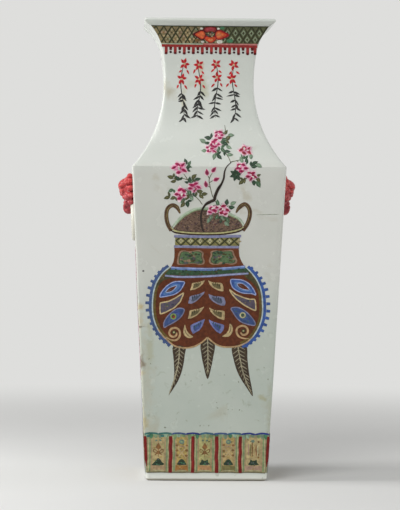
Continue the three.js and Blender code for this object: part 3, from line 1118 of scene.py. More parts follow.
def mouth_of_bronze(paint):
    """The rim with its two loop handles, and the earth heaped inside it."""
    heap = smooth(MOUND[:WASH_POINTS])
    paint.stroke([(1.05 * u, z + 1.7) for u, z in heap], 4.4, "green_wash", 0, taper=(0.3, 0.3))
    paint.stroke([(1.01 * u, z + 0.4) for u, z in heap], 1.8, "pale_green", 1, taper=(0.3, 0.3))
    mound = smooth(MOUND, closed=True, steps=3)
    paint.fill(mound, "soil", 1)
    shades = ("soil_dark", "soil_dark", "soil_plum", "bark", "rose_grey")
    flecks(paint, mound, 320, shades, 11, 2, (0.7, 1.5))
    flecks(paint, mound, 50, ("leaf_olive", "bark", "maroon", "soil"), 12, 3, (0.6, 1.1))
    for handle in HANDLES:
        line = smooth(handle, steps=6)
        paint.stroke(line, 5.2, "handle_brown", 2, taper=(0.95, 0.34))
        paint.stroke([(0.985 * u, z) for u, z in line[4:]], 1.1, "khaki_dark", 3, taper=(0.4, 0.3))
        paint.stroke([(1.012 * u, z + 0.2) for u, z in line[:-4]], 1.1, "ink_brown", 3, taper=(0.4, 0.2))
    rim = smooth(RIM)
    paint.stroke(rim, 1.9, "ink_brown", 4, taper=(0.5, 0.5))
    paint.stroke([(0.97 * u, z + 1.7) for u, z in rim], 1.9, "lime_cream", 4, taper=(0.4, 0.4))
    paint.stroke([(0.94 * u, z + 3.0) for u, z in rim], 0.8, "ink_brown", 4, taper=(0.4, 0.4))


LEGS = [
    (
        [
            (-43.3, 170), (-28.2, 169), (-28.5, 158.5), (-30.2, 145.5), (-33.7, 132.5), (-39.3, 120.9),
            (-48.5, 107.6), (-43.4, 122.3), (-41.8, 136.8), (-42.6, 152.6),
        ],
        [(-35.4, 169.4), (-36, 152.7), (-38.6, 138.2), (-42.6, 123.8), (-47.6, 108.8)],
    ),
    (
        [
            (-8.9, 173), (0, 180), (9.1, 172.6), (7.1, 155.8), (5, 144.3), (1.4, 129.6), (-1.6, 131.6),
            (-5.1, 145.6), (-7.6, 157.2),
        ],
        [(-0.2, 179.6), (0.4, 157.2), (0.4, 133.6)],
    ),
    (
        [
            (30.6, 170), (47.9, 171.4), (50.2, 153.2), (52.6, 134.4), (57.4, 107.8), (49.9, 116.9),
            (39.7, 132.9), (33.7, 148.8),
        ],
        [(37.8, 170), (40.9, 153.1), (44.7, 137.3), (51, 120), (56.4, 109.4)],
    ),
]


def legs(paint):
    """Three blade-shaped legs with a pale midrib and thin pale barbs on dark brown."""
    rng = random.Random(9)
    for shape, middle in LEGS:
        outline = smooth(shape, closed=True, steps=4)
        paint.fill(outline, "leg_brown", 0)
        flecks(paint, outline, 40, ("leg_dark", "soil_dark", "olive_grey"), len(shape), 1, (0.7, 1.3))
        rib = smooth(middle, steps=10)
        for p in even_points(rib, 5)[:-1]:
            low = p[1] - 5.5
            span = span_at(outline, low)
            for way, edge in zip((-1, 1), span):
                if way * (edge - p[0]) > 0.9:
                    reach = rng.uniform(0.6, 0.95)
                    tip = (p[0] + reach * (edge - p[0]), p[1] + reach * (low - p[1]))
                    paint.stroke([(p[0] + 0.7 * way, p[1]), tip], 1.3, "leg_barb", 2, taper=(0.7, 0.5))
        paint.stroke(rib, 1.3, "leg_rib", 3, taper=(0.9, 0.2))


def span_at(outline, z):
    """Where an outline crosses a height: its leftmost and rightmost places."""
    crossed = [
        a[0] + (b[0] - a[0]) * (z - a[1]) / (b[1] - a[1])
        for a, b in zip(outline, outline[1:] + outline[:1])
        if (a[1] - z) * (b[1] - z) < 0
    ]
    return (min(crossed), max(crossed)) if crossed else ()


def turned(point, centre):
    """The direction of a point as seen from a centre, in degrees."""
    return math.degrees(math.atan2(point[1] - centre[1], point[0] - centre[0]))


def blossom(paint, dabs, rng, deep="magenta", size=1.0, level=3):
    """Deep brush dabs laid over overlapping paler petals."""
    centre = tuple(sum(p[axis] for p in dabs) / len(dabs) for axis in (0, 1))
    for dab in dabs:
        paint.leaf(dab, 10.8 * size, 8.2 * size, turned(dab, centre), "pink_wash", level - 1)
    for dab in dabs:
        near = tuple(p + (q - p) * 0.24 for p, q in zip(dab, centre))
        paint.leaf(near, 8.8 * size, 5.8 * size, turned(dab, centre) + rng.uniform(-60, 60), "pink", level)
    for dab in dabs:
        turn = rng.choice((turned(dab, centre), 0, 0)) + rng.uniform(-32, 32)
        paint.leaf(dab, rng.uniform(6.0, 8.2) * size, rng.uniform(2.9, 4.1) * size, turn, deep, level + 1)
        paint.leaf(dab, 4.4 * size, 1.4 * size, turn + rng.uniform(-14, 14), "wine", level + 2)
    for pigment in (deep, "pink_wash", "white"):
        spot = (centre[0] + rng.uniform(-2.6, 2.6) * size, centre[1] + rng.uniform(-2.6, 2.6) * size)
        paint.leaf(spot, 4.6 * size, 2.2 * size, rng.uniform(0, 180), pigment, level + 2)


def leaf_spray(paint, place, shade, centre, rng, level=2):
    """Two leaves on one stalk, the larger with a paler vein."""
    turn = turned(place, centre) + rng.uniform(-35, 35)
    length = rng.uniform(7.4, 9.4)
    ahead = math.radians(turn)
    stalk = (place[0] - 0.5 * length * math.cos(ahead), place[1] - 0.5 * length * math.sin(ahead))
    paint.leaf(place, length, rng.uniform(0.5, 0.64) * length, turn, shade, level)
    middle = (place[0] + 0.06 * length * math.cos(ahead), place[1] + 0.06 * length * math.sin(ahead))
    paint.leaf(middle, 0.6 * length, 0.11 * length, turn, PALER[shade], level + 1)
    if shade != "mint":
        away = turn + rng.choice((-80, 80))
        side = math.radians(away)
        twin = (stalk[0] + 0.42 * length * math.cos(side), stalk[1] + 0.42 * length * math.sin(side))
        paint.leaf(twin, 0.72 * length, 0.38 * length, away, shade, level)


PALER = {"leaf_dark": "leaf_green", "leaf_green": "mint", "leaf_olive": "olive_pale", "mint": "mint_pale"}
# Each blossom: its dabs, its deep colour and its size
BLOSSOMS = [
    ([(9.4, 437.8), (14.4, 438.2), (8.6, 433.4), (16.4, 434.2), (13.8, 430.6)], "magenta", 0.84),
    ([(8.2, 428), (5.4, 425.6), (2.8, 422.2), (8.2, 419.6), (12, 422.6), (5, 419.6)], "magenta", 0.9),
    ([(-1.9, 418.6), (-1, 414), (6.6, 413.6), (3.6, 416.8)], "magenta", 0.84),
    ([(44, 418.8), (49.6, 417.2), (50, 412.6), (39.8, 415.4), (43.6, 411.6)], "rose_red", 1.02),
    ([(37.1, 396.6), (42.6, 396.6), (35.2, 392.9), (39.8, 388.8), (45.7, 392.5)], "magenta", 0.98),
    ([(50, 386.6), (54.6, 386.6), (56.6, 382), (52, 379.4), (48.4, 382.2)], "cherry", 0.94),
    ([(-39.2, 396.4), (-33.3, 396), (-43.9, 392.8), (-31.4, 389.1), (-38.2, 386.6)], "magenta", 1.12),
    ([(-22.1, 371), (-16.7, 372.8), (-23.5, 366.8), (-18.4, 364.6), (-13, 368.3)], "magenta", 1.04),
    ([(-36.2, 365.4), (-31.6, 363.6), (-40.3, 359.4), (-36.6, 354.4), (-32, 358.1)], "magenta", 1.04),
    ([(2.8, 342.6), (7, 339.7), (1, 337.4), (9.4, 343.4)], "magenta", 0.98),
    ([(15.2, 341.6), (18.3, 345.3), (15.7, 336.6), (22.9, 340.2), (20.8, 335.4)], "cherry", 0.94),
]
LEAVES = {
    (8, 424): {
        "leaf_dark": [(20.3, 423.4), (-1.7, 430.7), (-2.7, 424.1), (22.8, 413.7), (12.6, 406.6)],
        "leaf_olive": [(21.3, 437.9), (24, 430.9)],
        "leaf_green": [(19.9, 428.6), (17.4, 415), (11.4, 416.8), (9, 411.2)],
        "mint": [(27.8, 434.2), (-8.2, 426.9), (24.8, 418.8), (6.2, 407), (-6.5, 414.3), (26, 409.5)],
    },
    (46, 396): {
        "leaf_dark": [(46.4, 401.8), (56.9, 399.5), (55.8, 394.9), (55.5, 374.4)],
        "leaf_green": [(42, 407.3), (61.4, 372.6)], "mint": [(52.1, 407.9), (40, 403.1), (61.8, 395.9)],
        "leaf_olive": [(61, 378.5), (43.6, 377), (39.6, 374.8)],
    },
    (-28, 372): {
        "leaf_dark": [
            (-29.6, 400.6), (-26.4, 393.7), (-24.5, 377.8), (-14.4, 378.3), (-18.4, 359.1),
            (-26.9, 347.2), (-40, 379.5),
        ],
        "leaf_green": [(-25, 398.3), (-21.7, 376), (-48.1, 363.9), (-24.8, 361.8), (-32.9, 351.7)],
        "leaf_olive": [
            (-48.7, 380.8), (-45, 375.3), (-19, 381.9), (-52.6, 355.2), (-45.3, 354.8), (-12, 363.7),
            (-9.7, 356.9), (-5.6, 360.1), (-27.5, 355.9), (-32.9, 346.2),
        ],
        "mint": [(-22, 355.4)],
    },
    (14, 341): {
        "leaf_dark": [(22, 350.2), (28.2, 343.6), (14.8, 326.6)],
        "leaf_green": [(10.6, 349.4), (9.6, 331), (23.4, 327.4)],
        "mint": [(30.2, 349), (2, 330.3), (22.4, 322.8), (-0.4, 327), (17, 330)],
    },
}
MAPLE_LEAF = (33.6, 384.6)
BUDS = [((-3.1, 387.1), 97), ((5.5, 390.3), 50), ((8.9, 378.5), 24), ((-4.3, 372.5), 100)]
TRUNK = [
    (-6.1, 312.6), (-8.9, 320), (-10, 330.2), (-8.9, 339.1), (-4.5, 346.8), (1.8, 350.6), (6.3, 353),
    (7.7, 358.4), (10.8, 365.8), (15.3, 373.1), (18, 380.4), (18.8, 387.7), (21.5, 394.1), (28.5, 401.1),
]
STEMS = [
    [(6.6, 354.4), (4, 358), (1.7, 366.6), (-0.3, 376.6), (1.5, 383), (5, 388)],
    [(1.2, 368), (-1.6, 370.4), (-4, 372.2)],
    [(-0.1, 374), (4, 376.6), (8, 378.2)],
    [(0.2, 379), (-2, 383), (-3, 386)],
    [(26.6, 399.4), (24.6, 405), (20.4, 412), (16.6, 420), (17.4, 432), (20.4, 439.8), (19.6, 447)],
    [(17, 424), (10, 426), (3, 424), (-3, 417)],
    [(27.6, 400.6), (34, 402), (40, 404), (44, 410)],
    [(34, 402), (40, 397), (47, 391), (56, 380)],
    [(-8.4, 347), (-14, 354), (-22, 360), (-32, 360), (-44, 358)],
    [(-16, 355.6), (-20, 364), (-26, 376), (-34, 388)],
    [(-27, 377.6), (-36, 379.6), (-46, 378.4)],
    [(6, 352.6), (12, 347), (20, 345), (29, 346)],
]


def flowering_branch(paint):
    """The branch that grows out of the bronze, with its blossoms, buds and leaves."""
    rng = random.Random(21)
    for stem in STEMS:
        paint.stroke(smooth(stem, steps=5), 1.0, "leaf_olive", 1, taper=(0.9, 0.4))
    trunk = smooth(TRUNK, steps=6)
    paint.stroke(trunk, 2.5, "bark", 6, taper=(0.8, 0.3))
    bend = [p for p in trunk if 340 < p[1] < 378]
    paint.stroke(bend, 3.7, "bark", 6, taper=(0.4, 0.4))
    for centre, shades in LEAVES.items():
        for shade, places in shades.items():
            for place in places:
                leaf_spray(paint, place, shade, centre, rng)
    for lobe in (100, 150, 200, 250, 300, 20):
        turn = math.radians(lobe)
        tip = (MAPLE_LEAF[0] + 3.8 * math.cos(turn), MAPLE_LEAF[1] + 3.8 * math.sin(turn))
        paint.leaf(tip, 10.4, 5.4, lobe, "leaf_dark", 2)
        paint.stroke([MAPLE_LEAF, tip], 0.7, "leaf_green", 4, taper=(1, 0.3))
    for dabs, deep, size in BLOSSOMS:
        blossom(paint, dabs, rng, deep, size)
    for centre, turn in BUDS:
        paint.leaf(centre, 10.2, 6.8, turn, "pink_wash", 2)
        paint.leaf(centre, 9.0, 5.0, turn, "rose_deep", 3)
        paint.leaf(centre, 6.2, 2.0, turn, "wine", 4)


def bronze_with_flowers(paint):
    legs(paint)
    belly(paint)
    inlay(paint)
    neck_of_bronze(paint)
    mouth_of_bronze(paint)
    flowering_branch(paint)


# Borders: the foot's runs round all four faces, the mouth's is on the front and the back

BORDER_BOTTOM = 10.6
BORDER_TOP = 58.6
BAR_TOP = 56.4
PANEL_MARGIN = 2.6
# Each red bar between two panels: its place across the face and its width
BARS = [(-45.4, 4.5), (-17.2, 3.9), (12.5, 4.4), (42, 4.2)]

# Each panel's ground, its ornament and its band below the rock
PANELS = [
    {"ground": "ochre_grey", "ornament": "diamond", "band": "beige", "rock": "peak"},
    {"ground": "ochre_gold", "ornament": "ribbon", "band": "ochre_orange", "rock": "dome"},
    {"ground": "ochre_green", "ornament": "diamond", "band": "peach", "rock": "twin"},
    {"ground": "ochre_deep", "ornament": "ribbon", "band": "olive_pale", "rock": "dome"},
    {"ground": "ochre_grey", "ornament": "stripes", "band": "rose_beige", "rock": "twin"},
]
ROCKS = {
    "peak": [
        (-7.4, 19.6), (-5.6, 23), (-3, 25.6), (-0.6, 28.6), (2.2, 27.4), (4.4, 24), (7.4, 21.4), (5, 19.8),
    ],
    "dome": [(-5.4, 20.2), (-4, 24.4), (-1, 27.4), (2, 27), (4.6, 23.6), (5.6, 20.2)],
    "twin": [
        (-6, 20.2), (-4.6, 24.4), (-3.4, 27.4), (-0.8, 25.4), (2.2, 26.2), (4, 27), (4.6, 23.4), (6.4, 20.6),
    ],
}


def face_half(z):
    """How far a border may reach along a face before the corner's rounding."""
    return half_width(z) - 0.35 * OUTER_CORNER


def foot_border(paint, seed):
    """Upright panels with a rock and an ornament each, parted by red bars, under a scalloped blue line."""
    rng = random.Random(seed)
    low, high = face_half(BORDER_BOTTOM), face_half(BORDER_TOP)
    field = [(-low, BORDER_BOTTOM), (low, BORDER_BOTTOM), (high, BORDER_TOP), (-high, BORDER_TOP)]
    paint.fill(field, "pale_olive", 0, 0.2)
    edges = [-low, *(u for u, _ in BARS), low]
    for panel, left, right in zip(PANELS, edges, edges[1:]):
        border_panel(paint, panel, left + PANEL_MARGIN, right - PANEL_MARGIN, rng)
    for u, width in BARS:
        heights = spread(BORDER_BOTTOM - 0.6, BAR_TOP, 7)
        line = [(u + rng.uniform(-0.5, 0.5), z) for z in heights]
        paint.stroke(smooth(line, steps=3), width, "border_red", 6, taper=(0.9, 0.8))
        light = [(u - 0.18 * width, z) for _, z in line[1:-1]]
        paint.stroke(light, 0.28 * width, "border_rose", 7, taper=(0.3, 0.3))
    for way in (-1, 1):
        line = [(way * (half_width(z) - 1.7), z) for z in spread(18, BAR_TOP, 7)]
        paint.stroke(line, 3.6, "border_red", 6, taper=(0.2, 0.8))
    wobble = [(u, BORDER_BOTTOM + rng.uniform(-0.4, 0.5)) for u in spread(-low + 1, low - 2, 9)]
    paint.stroke(smooth(wobble, steps=3), 1.0, "olive_grey", 5)
    cloud_edge(paint, rng)


# The lines down both sides of a panel: distance inwards, width and colour
PANEL_LINES = ((0.4, 1.3, "cream_pale"), (2.0, 1.9, "border_green"), (4.0, 1.7, "beige"))


def border_panel(paint, panel, left, right, rng):
    """One panel: pale and green lines down both sides, then the ground with its ornament, rock and band."""
    middle = (left + right) / 2
    top = BORDER_TOP - 1.6
    heights = spread(BORDER_BOTTOM + 1.4, top, 9)
    for way, side in ((1, left), (-1, right)):
        for step, width, shade in PANEL_LINES:
            line = [(side + way * step + rng.uniform(-0.3, 0.3), z) for z in heights]
            paint.stroke(smooth(line, steps=2), width, shade, 1)
    inner_left, inner_right = left + 5, right - 5
    ground = [(inner_left, 12.4), (inner_right, 12.4), (inner_right, top - 2), (inner_left, top - 2)]
    paint.fill(ground, panel["ground"], 2, 0.3)
    shades = ("ochre_gold", "ochre_deep", "olive_pale", "ochre_green")
    flecks(paint, ground, 26, shades, rng.random(), 3, (0.9, 1.9))
    band = [(left + 3.4, 12.6), (right - 3.4, 12.6), (right - 4, 19.4), (left + 4, 19.8)]
    paint.fill(band, panel["band"], 3, 0.6)
    paint.stroke([(left + 4.6, 13.4), (right - 4.6, 13.2)], 1.2, "cream_pale", 4, taper=(0.3, 0.3))
    rock = [(middle + u, z) for u, z in ROCKS[panel["rock"]]]
    paint.fill(smooth(rock, closed=True, steps=3), "rock_green", 5)
    flecks(paint, rock, 7, ("ink_green", "slate_grey", "sea_green"), rng.random(), 6, (0.8, 1.5))
    ORNAMENTS[panel["ornament"]](paint, middle, rng)


def about(middle, points, way=1):
    """Points given from a panel's middle line, on its right side or mirrored to its left."""
    return [(middle + way * u, z) for u, z in points]


def diamond_ornament(paint, middle, _):
    """A diamond on a stem over a spread foot."""
    diamond = about(middle, [(-3.6, 42.4), (0, 48.6), (3.6, 42.4), (0, 38.6)])
    paint.fill(diamond, "rust", 4, 0.5)
    paint.fill(shrunk(diamond, 0.4), "ochre_orange", 5)
    foot = about(middle, [(-5, 32.2), (-1.4, 38), (1.4, 38), (5, 32.2), (0, 34.4)])
    paint.fill(foot, "bronze_brown", 4, 0.5)
    paint.stroke([(middle, 30), (middle, 40)], 1.2, "rust", 5, taper=(0.5, 0.5))
    for way in (-1, 1):
        curl = about(middle, [(1, 37), (5.4, 40), (5.8, 36.6), (3.2, 35.8)], way)
        paint.stroke(smooth(curl, steps=4), 1.1, "bronze_brown", 4, taper=(0.5, 0.4))
        paint.dot((middle + 2.6 * way, 51), 1.5, "slate_green", 4, 0.8)
        paint.dot((middle + 5.4 * way, 46), 1.2, "ochre_green", 4)


def ribbon_ornament(paint, middle, rng):
    """A pale ribbon that crosses itself, with dark gold marks on either side."""
    paint.dot((middle, 49.4), 3.4, "slate_green", 4, 0.9)
    paint.dot((middle, 49.4), 1.6, "pale_green", 5, 0.8)
    for way in (-1, 1):
        ribbon = about(middle, [(-3.8, 45), (-4.2, 41), (0, 35.6), (4.4, 30.6)], way)
        paint.stroke(smooth(ribbon, steps=5), 1.5, "khaki", 4 + (way > 0), taper=(0.5, 0.5))
        for z, shade in ((52.4, "ochre_gold"), (45.4, "rust"), (38.8, "bronze_brown"), (32, "bronze_brown")):
            spot = (middle + way * (5.8 + rng.uniform(-0.5, 0.5)), z + rng.uniform(-0.8, 0.8))
            paint.dot(spot, rng.uniform(1.5, 2.1), shade, 4, 0.8)
    paint.stroke([(middle - 3.4, 43.6), (middle + 3.4, 43.8)], 1.3, "rose_beige", 5, taper=(0.5, 0.5))


def striped_ornament(paint, middle, rng):
    """Loose upright strokes of brown, olive and rose."""
    shades = ("rose_beige", "olive_pale", "bronze_brown", "ochre_deep", "rust", "cream_pale")
    for i, shade in enumerate(shades):
        u = middle - 6.4 + 2.4 * i
        heights = spread(31 + rng.uniform(0, 2), 46 + rng.uniform(-2, 4), 5)
        line = [(u + rng.uniform(-0.4, 0.4), z) for z in heights]
        paint.stroke(smooth(line, steps=2), 1.7, shade, 4, taper=(0.4, 0.4))
    for z in (49.6, 30, 33.6):
        paint.dot((middle + 6.2, z), 1.2, "bronze_brown", 4)
    paint.dot((middle - 1, 50.4), 2.4, "slate_green", 4, 0.8)


ORNAMENTS = {"diamond": diamond_ornament, "ribbon": ribbon_ornament, "stripes": striped_ornament}
SCALLOP = 17.6
# The scallops' colours from left to right, the last one for all that follow
SCALLOP_SHADES = (
    "teal", "teal", "slate_blue", "indigo", "teal_blue", "slate_blue", "teal_blue", "indigo", "indigo",
)


def cloud_edge(paint, rng):
    """The border's top: green clouds hanging under a wavy blue line."""
    reach = face_half(60)
    count = round(2 * reach / SCALLOP)
    width = 2 * reach / count
    for i in range(count):
        left = -reach + i * width
        arch = []
        for t in (0, 0.15, 0.4, 0.6, 0.85, 1):
            rise = 1.4 * math.sin(math.pi * t) ** 0.7
            arch.append((left + width * t, 58.8 + rise + rng.uniform(-0.25, 0.25)))
        shade = SCALLOP_SHADES[min(i, len(SCALLOP_SHADES) - 1)]
        paint.stroke(smooth(arch, steps=3), 2.2, shade, 5, taper=(0.6, 0.6))
        for t in (0.2, 0.5, 0.8):
            u = left + width * t + rng.uniform(-1, 1)
            drop = rng.uniform(1.2, 4.2)
            cloud = about(u, [(-2.4, 58.2), (0, 59.4), (2.4, 58.2), (1.4, 56.6 - drop), (-1.2, 57 - drop)])
            shade = rng.choice(("mint", "pale_green", "border_green", "mint_pale", "sea_green"))
            paint.fill(smooth(cloud, closed=True, steps=3), shade, 3)
        if i < 2:
            paint.dot((left + 0.3 * width, 56.6), 2.4, "teal", 5, 0.7)


RED_LINE = 546.5
RED_LINE_WIDTH = 3.3
DIAPER_LOW = 549.4
PENDANT_PITCH = 11.4
PENDANT_START = 2.5
PENDANT_WIDTH = 3.7
# The heights at which the long and the short pendants end, and that of the drops under the short ones
LONG_FOOT, SHORT_FOOT, DROP = 536.4, 541.2, 538.7
LOZENGE_PITCH, LOZENGE_RISE = 10.0, 15.6
LOZENGE_START = (37.2, 546.9)
LINE_MARGIN = 0.8


def mouth_border(paint, seed):
    """The diaper band on the flare with a flower in its middle, and the pendants on a red line below it."""
    rng = random.Random(seed)
    top = NECK_TOP - 0.3
    rows = spread(DIAPER_LOW, top, 2)
    for way, ground in ((-1, "diaper_brown"), (1, "diaper_green")):
        edge = [(way * face_half(z), z) for z in rows]
        paint.fill([(0, DIAPER_LOW), *edge, (0, top)], ground, 0, edge=0.2)

    def inside(p):
        return DIAPER_LOW < p[1] < top and abs(p[0]) < face_half(p[1]) - LINE_MARGIN

    start = (LOZENGE_START[0] - 4 * LOZENGE_PITCH, LOZENGE_START[1])
    lattice(paint, start, LOZENGE_PITCH, LOZENGE_RISE, top, inside, 1.9, 1)
    for row in range(4):
        z = LOZENGE_START[1] + LOZENGE_RISE * row / 2
        for k in range(-12, 12):
            u = start[0] + LOZENGE_PITCH * (k + (row + 1) % 2 / 2)
            if DIAPER_LOW + 3 < z < top - 2.6 and abs(u) < face_half(z) - 3.4:
                lozenge(paint, (u, z), rng)
    edge_line = [(u, top - 0.3) for u in spread(-face_half(top) + 0.6, face_half(top) - 0.6, 5)]
    paint.stroke(edge_line, 1.1, "diaper_line", 3)
    reach = face_half(RED_LINE)
    for z, width, left, right, shade in (
        (548.7, 1.6, -reach, -8, "green_wash"), (548.9, 1.6, -8, reach, "border_pink"),
    ):
        paint.stroke([(u, z) for u in spread(left, right, 5)], width, shade, 3)
    mouth_flower(paint)
    red = [(u, RED_LINE + rng.uniform(-0.25, 0.25)) for u in spread(-reach, reach, 8)]
    paint.stroke(smooth(red, steps=3), RED_LINE_WIDTH, "mouth_red", 5)
    pendants(paint, rng)


def lozenge(paint, centre, rng):
    """One cell of the diaper: a pale ring on the right, loose pale dots on the left."""
    u, z = centre
    if u > 12:
        paint.fill([(u - 3.0, z), (u, z + 4.2), (u + 3.0, z), (u, z - 4.2)], "diaper_mint", 1)
        paint.fill([(u - 1.7, z), (u, z + 2.3), (u + 1.7, z), (u, z - 2.3)], "olive_dark", 2)
        paint.dot(centre, 0.7, "diaper_line", 3, sides=8)
    else:
        for across, up in ((2.5, 0), (0, 3.4), (-2.5, 0), (0, -3.4)):
            spot = (u + across + rng.uniform(-0.5, 0.5), z + up + rng.uniform(-0.8, 0.8))
            shade = rng.choice(("diaper_cream", "diaper_cream", "diaper_mint", "rose_beige", "khaki"))
            paint.dot(spot, rng.uniform(0.9, 1.6), shade, 1, sides=8)
        paint.dot((u + rng.uniform(-0.6, 0.6), z), 1.1, rng.choice(("diaper_line", "rust")), 1, sides=8)


# The flower's petals: outline, the place that its colours draw in towards, and those from the rim inwards
PETALS = [
    (
        [
            (-21.4, 560.8), (-16, 564.4), (-10.5, 566.2), (-6.4, 564.6), (-5, 560), (-6.6, 555.6),
            (-10.5, 553.8), (-15.5, 556.6),
        ],
        (-8.4, 560.4), ("maroon", "vermilion", "orange", "orange"),
    ),
    (
        [
            (24.6, 560.2), (18, 564.2), (11.5, 566.4), (8, 564.6), (6.8, 560.4), (8.4, 555.6),
            (11.5, 554.2), (18.3, 556),
        ],
        (10, 560.8), ("crimson", "vermilion", "orange", "orange_pale"),
    ),
    (
        [
            (-9, 566), (-6, 569.6), (0.7, 570.4), (7.4, 569.5), (9.2, 566), (6.7, 562.6), (1, 563.4),
            (-4.7, 562.6),
        ],
        (0.4, 567.4), ("maroon", "border_rose", "rose_red", "rose_red"),
    ),
    (
        [
            (-7.6, 556.4), (-3.4, 552.4), (1.3, 550.4), (6, 552.4), (9.4, 556.4), (6.8, 559.4),
            (1.2, 557.8), (-4.6, 559.2),
        ],
        (1.2, 553.6), ("crimson", "vermilion", "vermilion", "orange_pale"),
    ),
]
CORNER_BLOBS = [
    ((-10.6, 567.8), 2.0, "white"), ((10.4, 567.6), 2.1, "white"), ((-8.8, 551.8), 2.2, "white"),
    ((12.6, 551.8), 3.8, "white"), ((15.4, 568.6), 3.0, "sea_green"), ((25.4, 553.2), 4.2, "sea_green"),
    ((-15.4, 553.6), 3.2, "bronze_brown"),
]


def mouth_flower(paint):
    """A flower with two pointed side petals and two round ones, set in the diaper."""
    for centre, radius, shade in CORNER_BLOBS:
        paint.dot(centre, radius, shade, 5, 0.6)
    for outline, heart, shades in PETALS:
        curve = smooth(outline, closed=True, steps=4)
        for depth, shade in enumerate(shades):
            paint.fill(shrunk(curve, 1 - 0.22 * depth, heart), shade, 6 + depth)
    centre = (1, 561)
    paint.dot(centre, 4.8, "olive_dark", 10, 0.8)
    for i in range(7):
        turn = math.radians(51 * i)
        spot = (centre[0] + 3.2 * math.cos(turn), centre[1] + 2.5 * math.sin(turn))
        paint.dot(spot, 1.1, ("diaper_cream", "slate_grey", "maroon")[i % 3], 11)
    paint.dot(centre, 1.5, "rose_grey", 11)


def pendants(paint, rng):
    """Long bars hanging from the red line, with a short one and a drop between each two."""
    margin = 1.2
    edge = face_half(SHORT_FOOT - margin) - margin
    for k in range(-5, 6):
        u = min(max(PENDANT_START + PENDANT_PITCH * k, -edge), edge)
        foot = LONG_FOOT + rng.uniform(-0.3, 0.5)
        bar = [(u + rng.uniform(-0.3, 0.3), RED_LINE), (u, foot)]
        paint.stroke(bar, PENDANT_WIDTH, "mouth_red", 4, taper=(1, 0.9))
        paint.dot((u, foot + 1), 2.0, "maroon", 5, 0.8)
        between = u + PENDANT_PITCH / 2
        if between < edge:
            bar = [(between, RED_LINE), (between, SHORT_FOOT)]
            paint.stroke(bar, PENDANT_WIDTH, "maroon", 4, taper=(1, 0.8))
            paint.dot((between, DROP), 1.6, "ink_maroon", 4, 0.9)


SPRIG_LENGTH = 76
# Each sprig: its place across the neck, its top and how far its blossoms reach down
SPRIG_COLUMNS = [(-33.5, 530, 38), (-12.8, 529, 36), (9.2, 530, 33), (31.4, 529, 34)]


def neck_sprigs(paint):
    """Four hanging sprigs: red blossoms above, ink-dark leaves below."""
    rng = random.Random(5)
    for u, top, reach in SPRIG_COLUMNS:
        sway = rng.uniform(0, 6)

        def stem_at(z):
            return u + 2.2 * math.sin(0.09 * z + sway)

        low = top - SPRIG_LENGTH - rng.uniform(-3, 3)
        stem = [(stem_at(z), z) for z in spread(top - 6, low, 6)]
        paint.stroke(smooth(stem, steps=2), 1.2, "ink", 1, taper=(0.3, 0.3))
        for z in (top - 6, top - 0.5 * reach - 6):
            centre = (stem_at(z) + rng.uniform(-1.5, 1.5), z)
            spin = rng.uniform(0, 72)
            for i in range(5):
                turn = spin + 72 * i + rng.uniform(-14, 14)
                a = math.radians(turn)
                petal = (centre[0] + 3.8 * math.cos(a), centre[1] + 4.2 * math.sin(a))
                paint.leaf(petal, rng.uniform(5.6, 7.4), 3.6, turn, "ink_red", 2)
                paint.leaf(petal, 3.6, 1.4, turn, "crimson", 3)
            paint.dot(centre, 1.3, "cream_line", 4)
            for way in (-1, 1):
                bud = (centre[0] + rng.uniform(4, 6) * way, z - rng.uniform(8, 10.5))
                length = rng.uniform(5, 7.5)
                paint.leaf(bud, length, 2.4, -90 + 40 * way + rng.uniform(-20, 20), "ink_red", 2)
        for z in spread(top - reach - 4, low + 3, 6):
            for way in (-1, 1):
                turn = -90 + way * rng.uniform(24, 78)
                a = math.radians(turn)
                length = rng.uniform(7, 11)
                reach = 0.46 * length
                leaf = (stem_at(z) + reach * math.cos(a), z + rng.uniform(-1.5, 1.5) + reach * math.sin(a))
                paint.leaf(leaf, length, rng.uniform(2.1, 3.1), turn, "ink", 2)


# Dull marks in the glaze of the front: place and radius
MARKS = [
    (13.1, 92.2, 1.2), (-6.6, 121, 1.0), (-9.3, 138, 1.0), (39.1, 125.1, 1.2), (11.9, 99, 0.9),
    (-20.5, 126, 0.9), (-73.3, 153.3, 1.5), (-71.2, 147.5, 1.4), (-71.1, 130.7, 1.0), (-52.5, 67.2, 1.5),
    (2.3, 69.8, 1.2), (-8.6, 69.7, 1.3), (21.4, 133.8, 0.9), (26.3, 90.2, 1.0), (31.8, 90.2, 0.9),
    (40.6, 89.8, 1.2), (70.9, 143.4, 1.0), (76, 128.6, 1.1), (-28.4, 133.5, 1.0),
]


def glaze_marks(paint):
    """Small dull spots, one dark pit and a faint wear line."""
    for number, (u, z, radius) in enumerate(MARKS):
        paint.dot((u, z), radius, "glaze_mark", 0, 0.7, 40 * number, sides=8)
    paint.dot((-81.3, 263.5), 1.4, "slate_grey", 0, 0.8, sides=8)
    paint.stroke([(58, 334.6), (74, 335.2), (88, 335.5)], 1.0, "glaze_mark", 0, taper=(0.2, 0.2))


SIDE_ROCK = [(-34, 62), (-27, 84), (-16, 90), (-12, 104), (-2, 108), (6, 92), (18, 86), (26, 74), (36, 62)]
CLEFTS = [
    [(-24, 66), (-18, 78), (-14, 88)],
    [(-6, 66), (-4, 84), (-6, 100)],
    [(12, 66), (10, 78), (14, 84)],
]
# The trunk and then its limbs
LIMBS = [
    [
        (2, 96), (10, 120), (4, 146), (-10, 168), (-14, 192), (-4, 214), (10, 232), (16, 252), (10, 274),
        (0, 292),
    ],
    [(7, 132), (24, 146), (38, 166), (44, 186)],
    [(-6, 162), (-26, 172), (-42, 190), (-50, 212)],
    [(-12, 198), (-30, 218), (-40, 240), (-36, 262)],
    [(12, 240), (30, 250), (44, 268), (48, 288)],
]


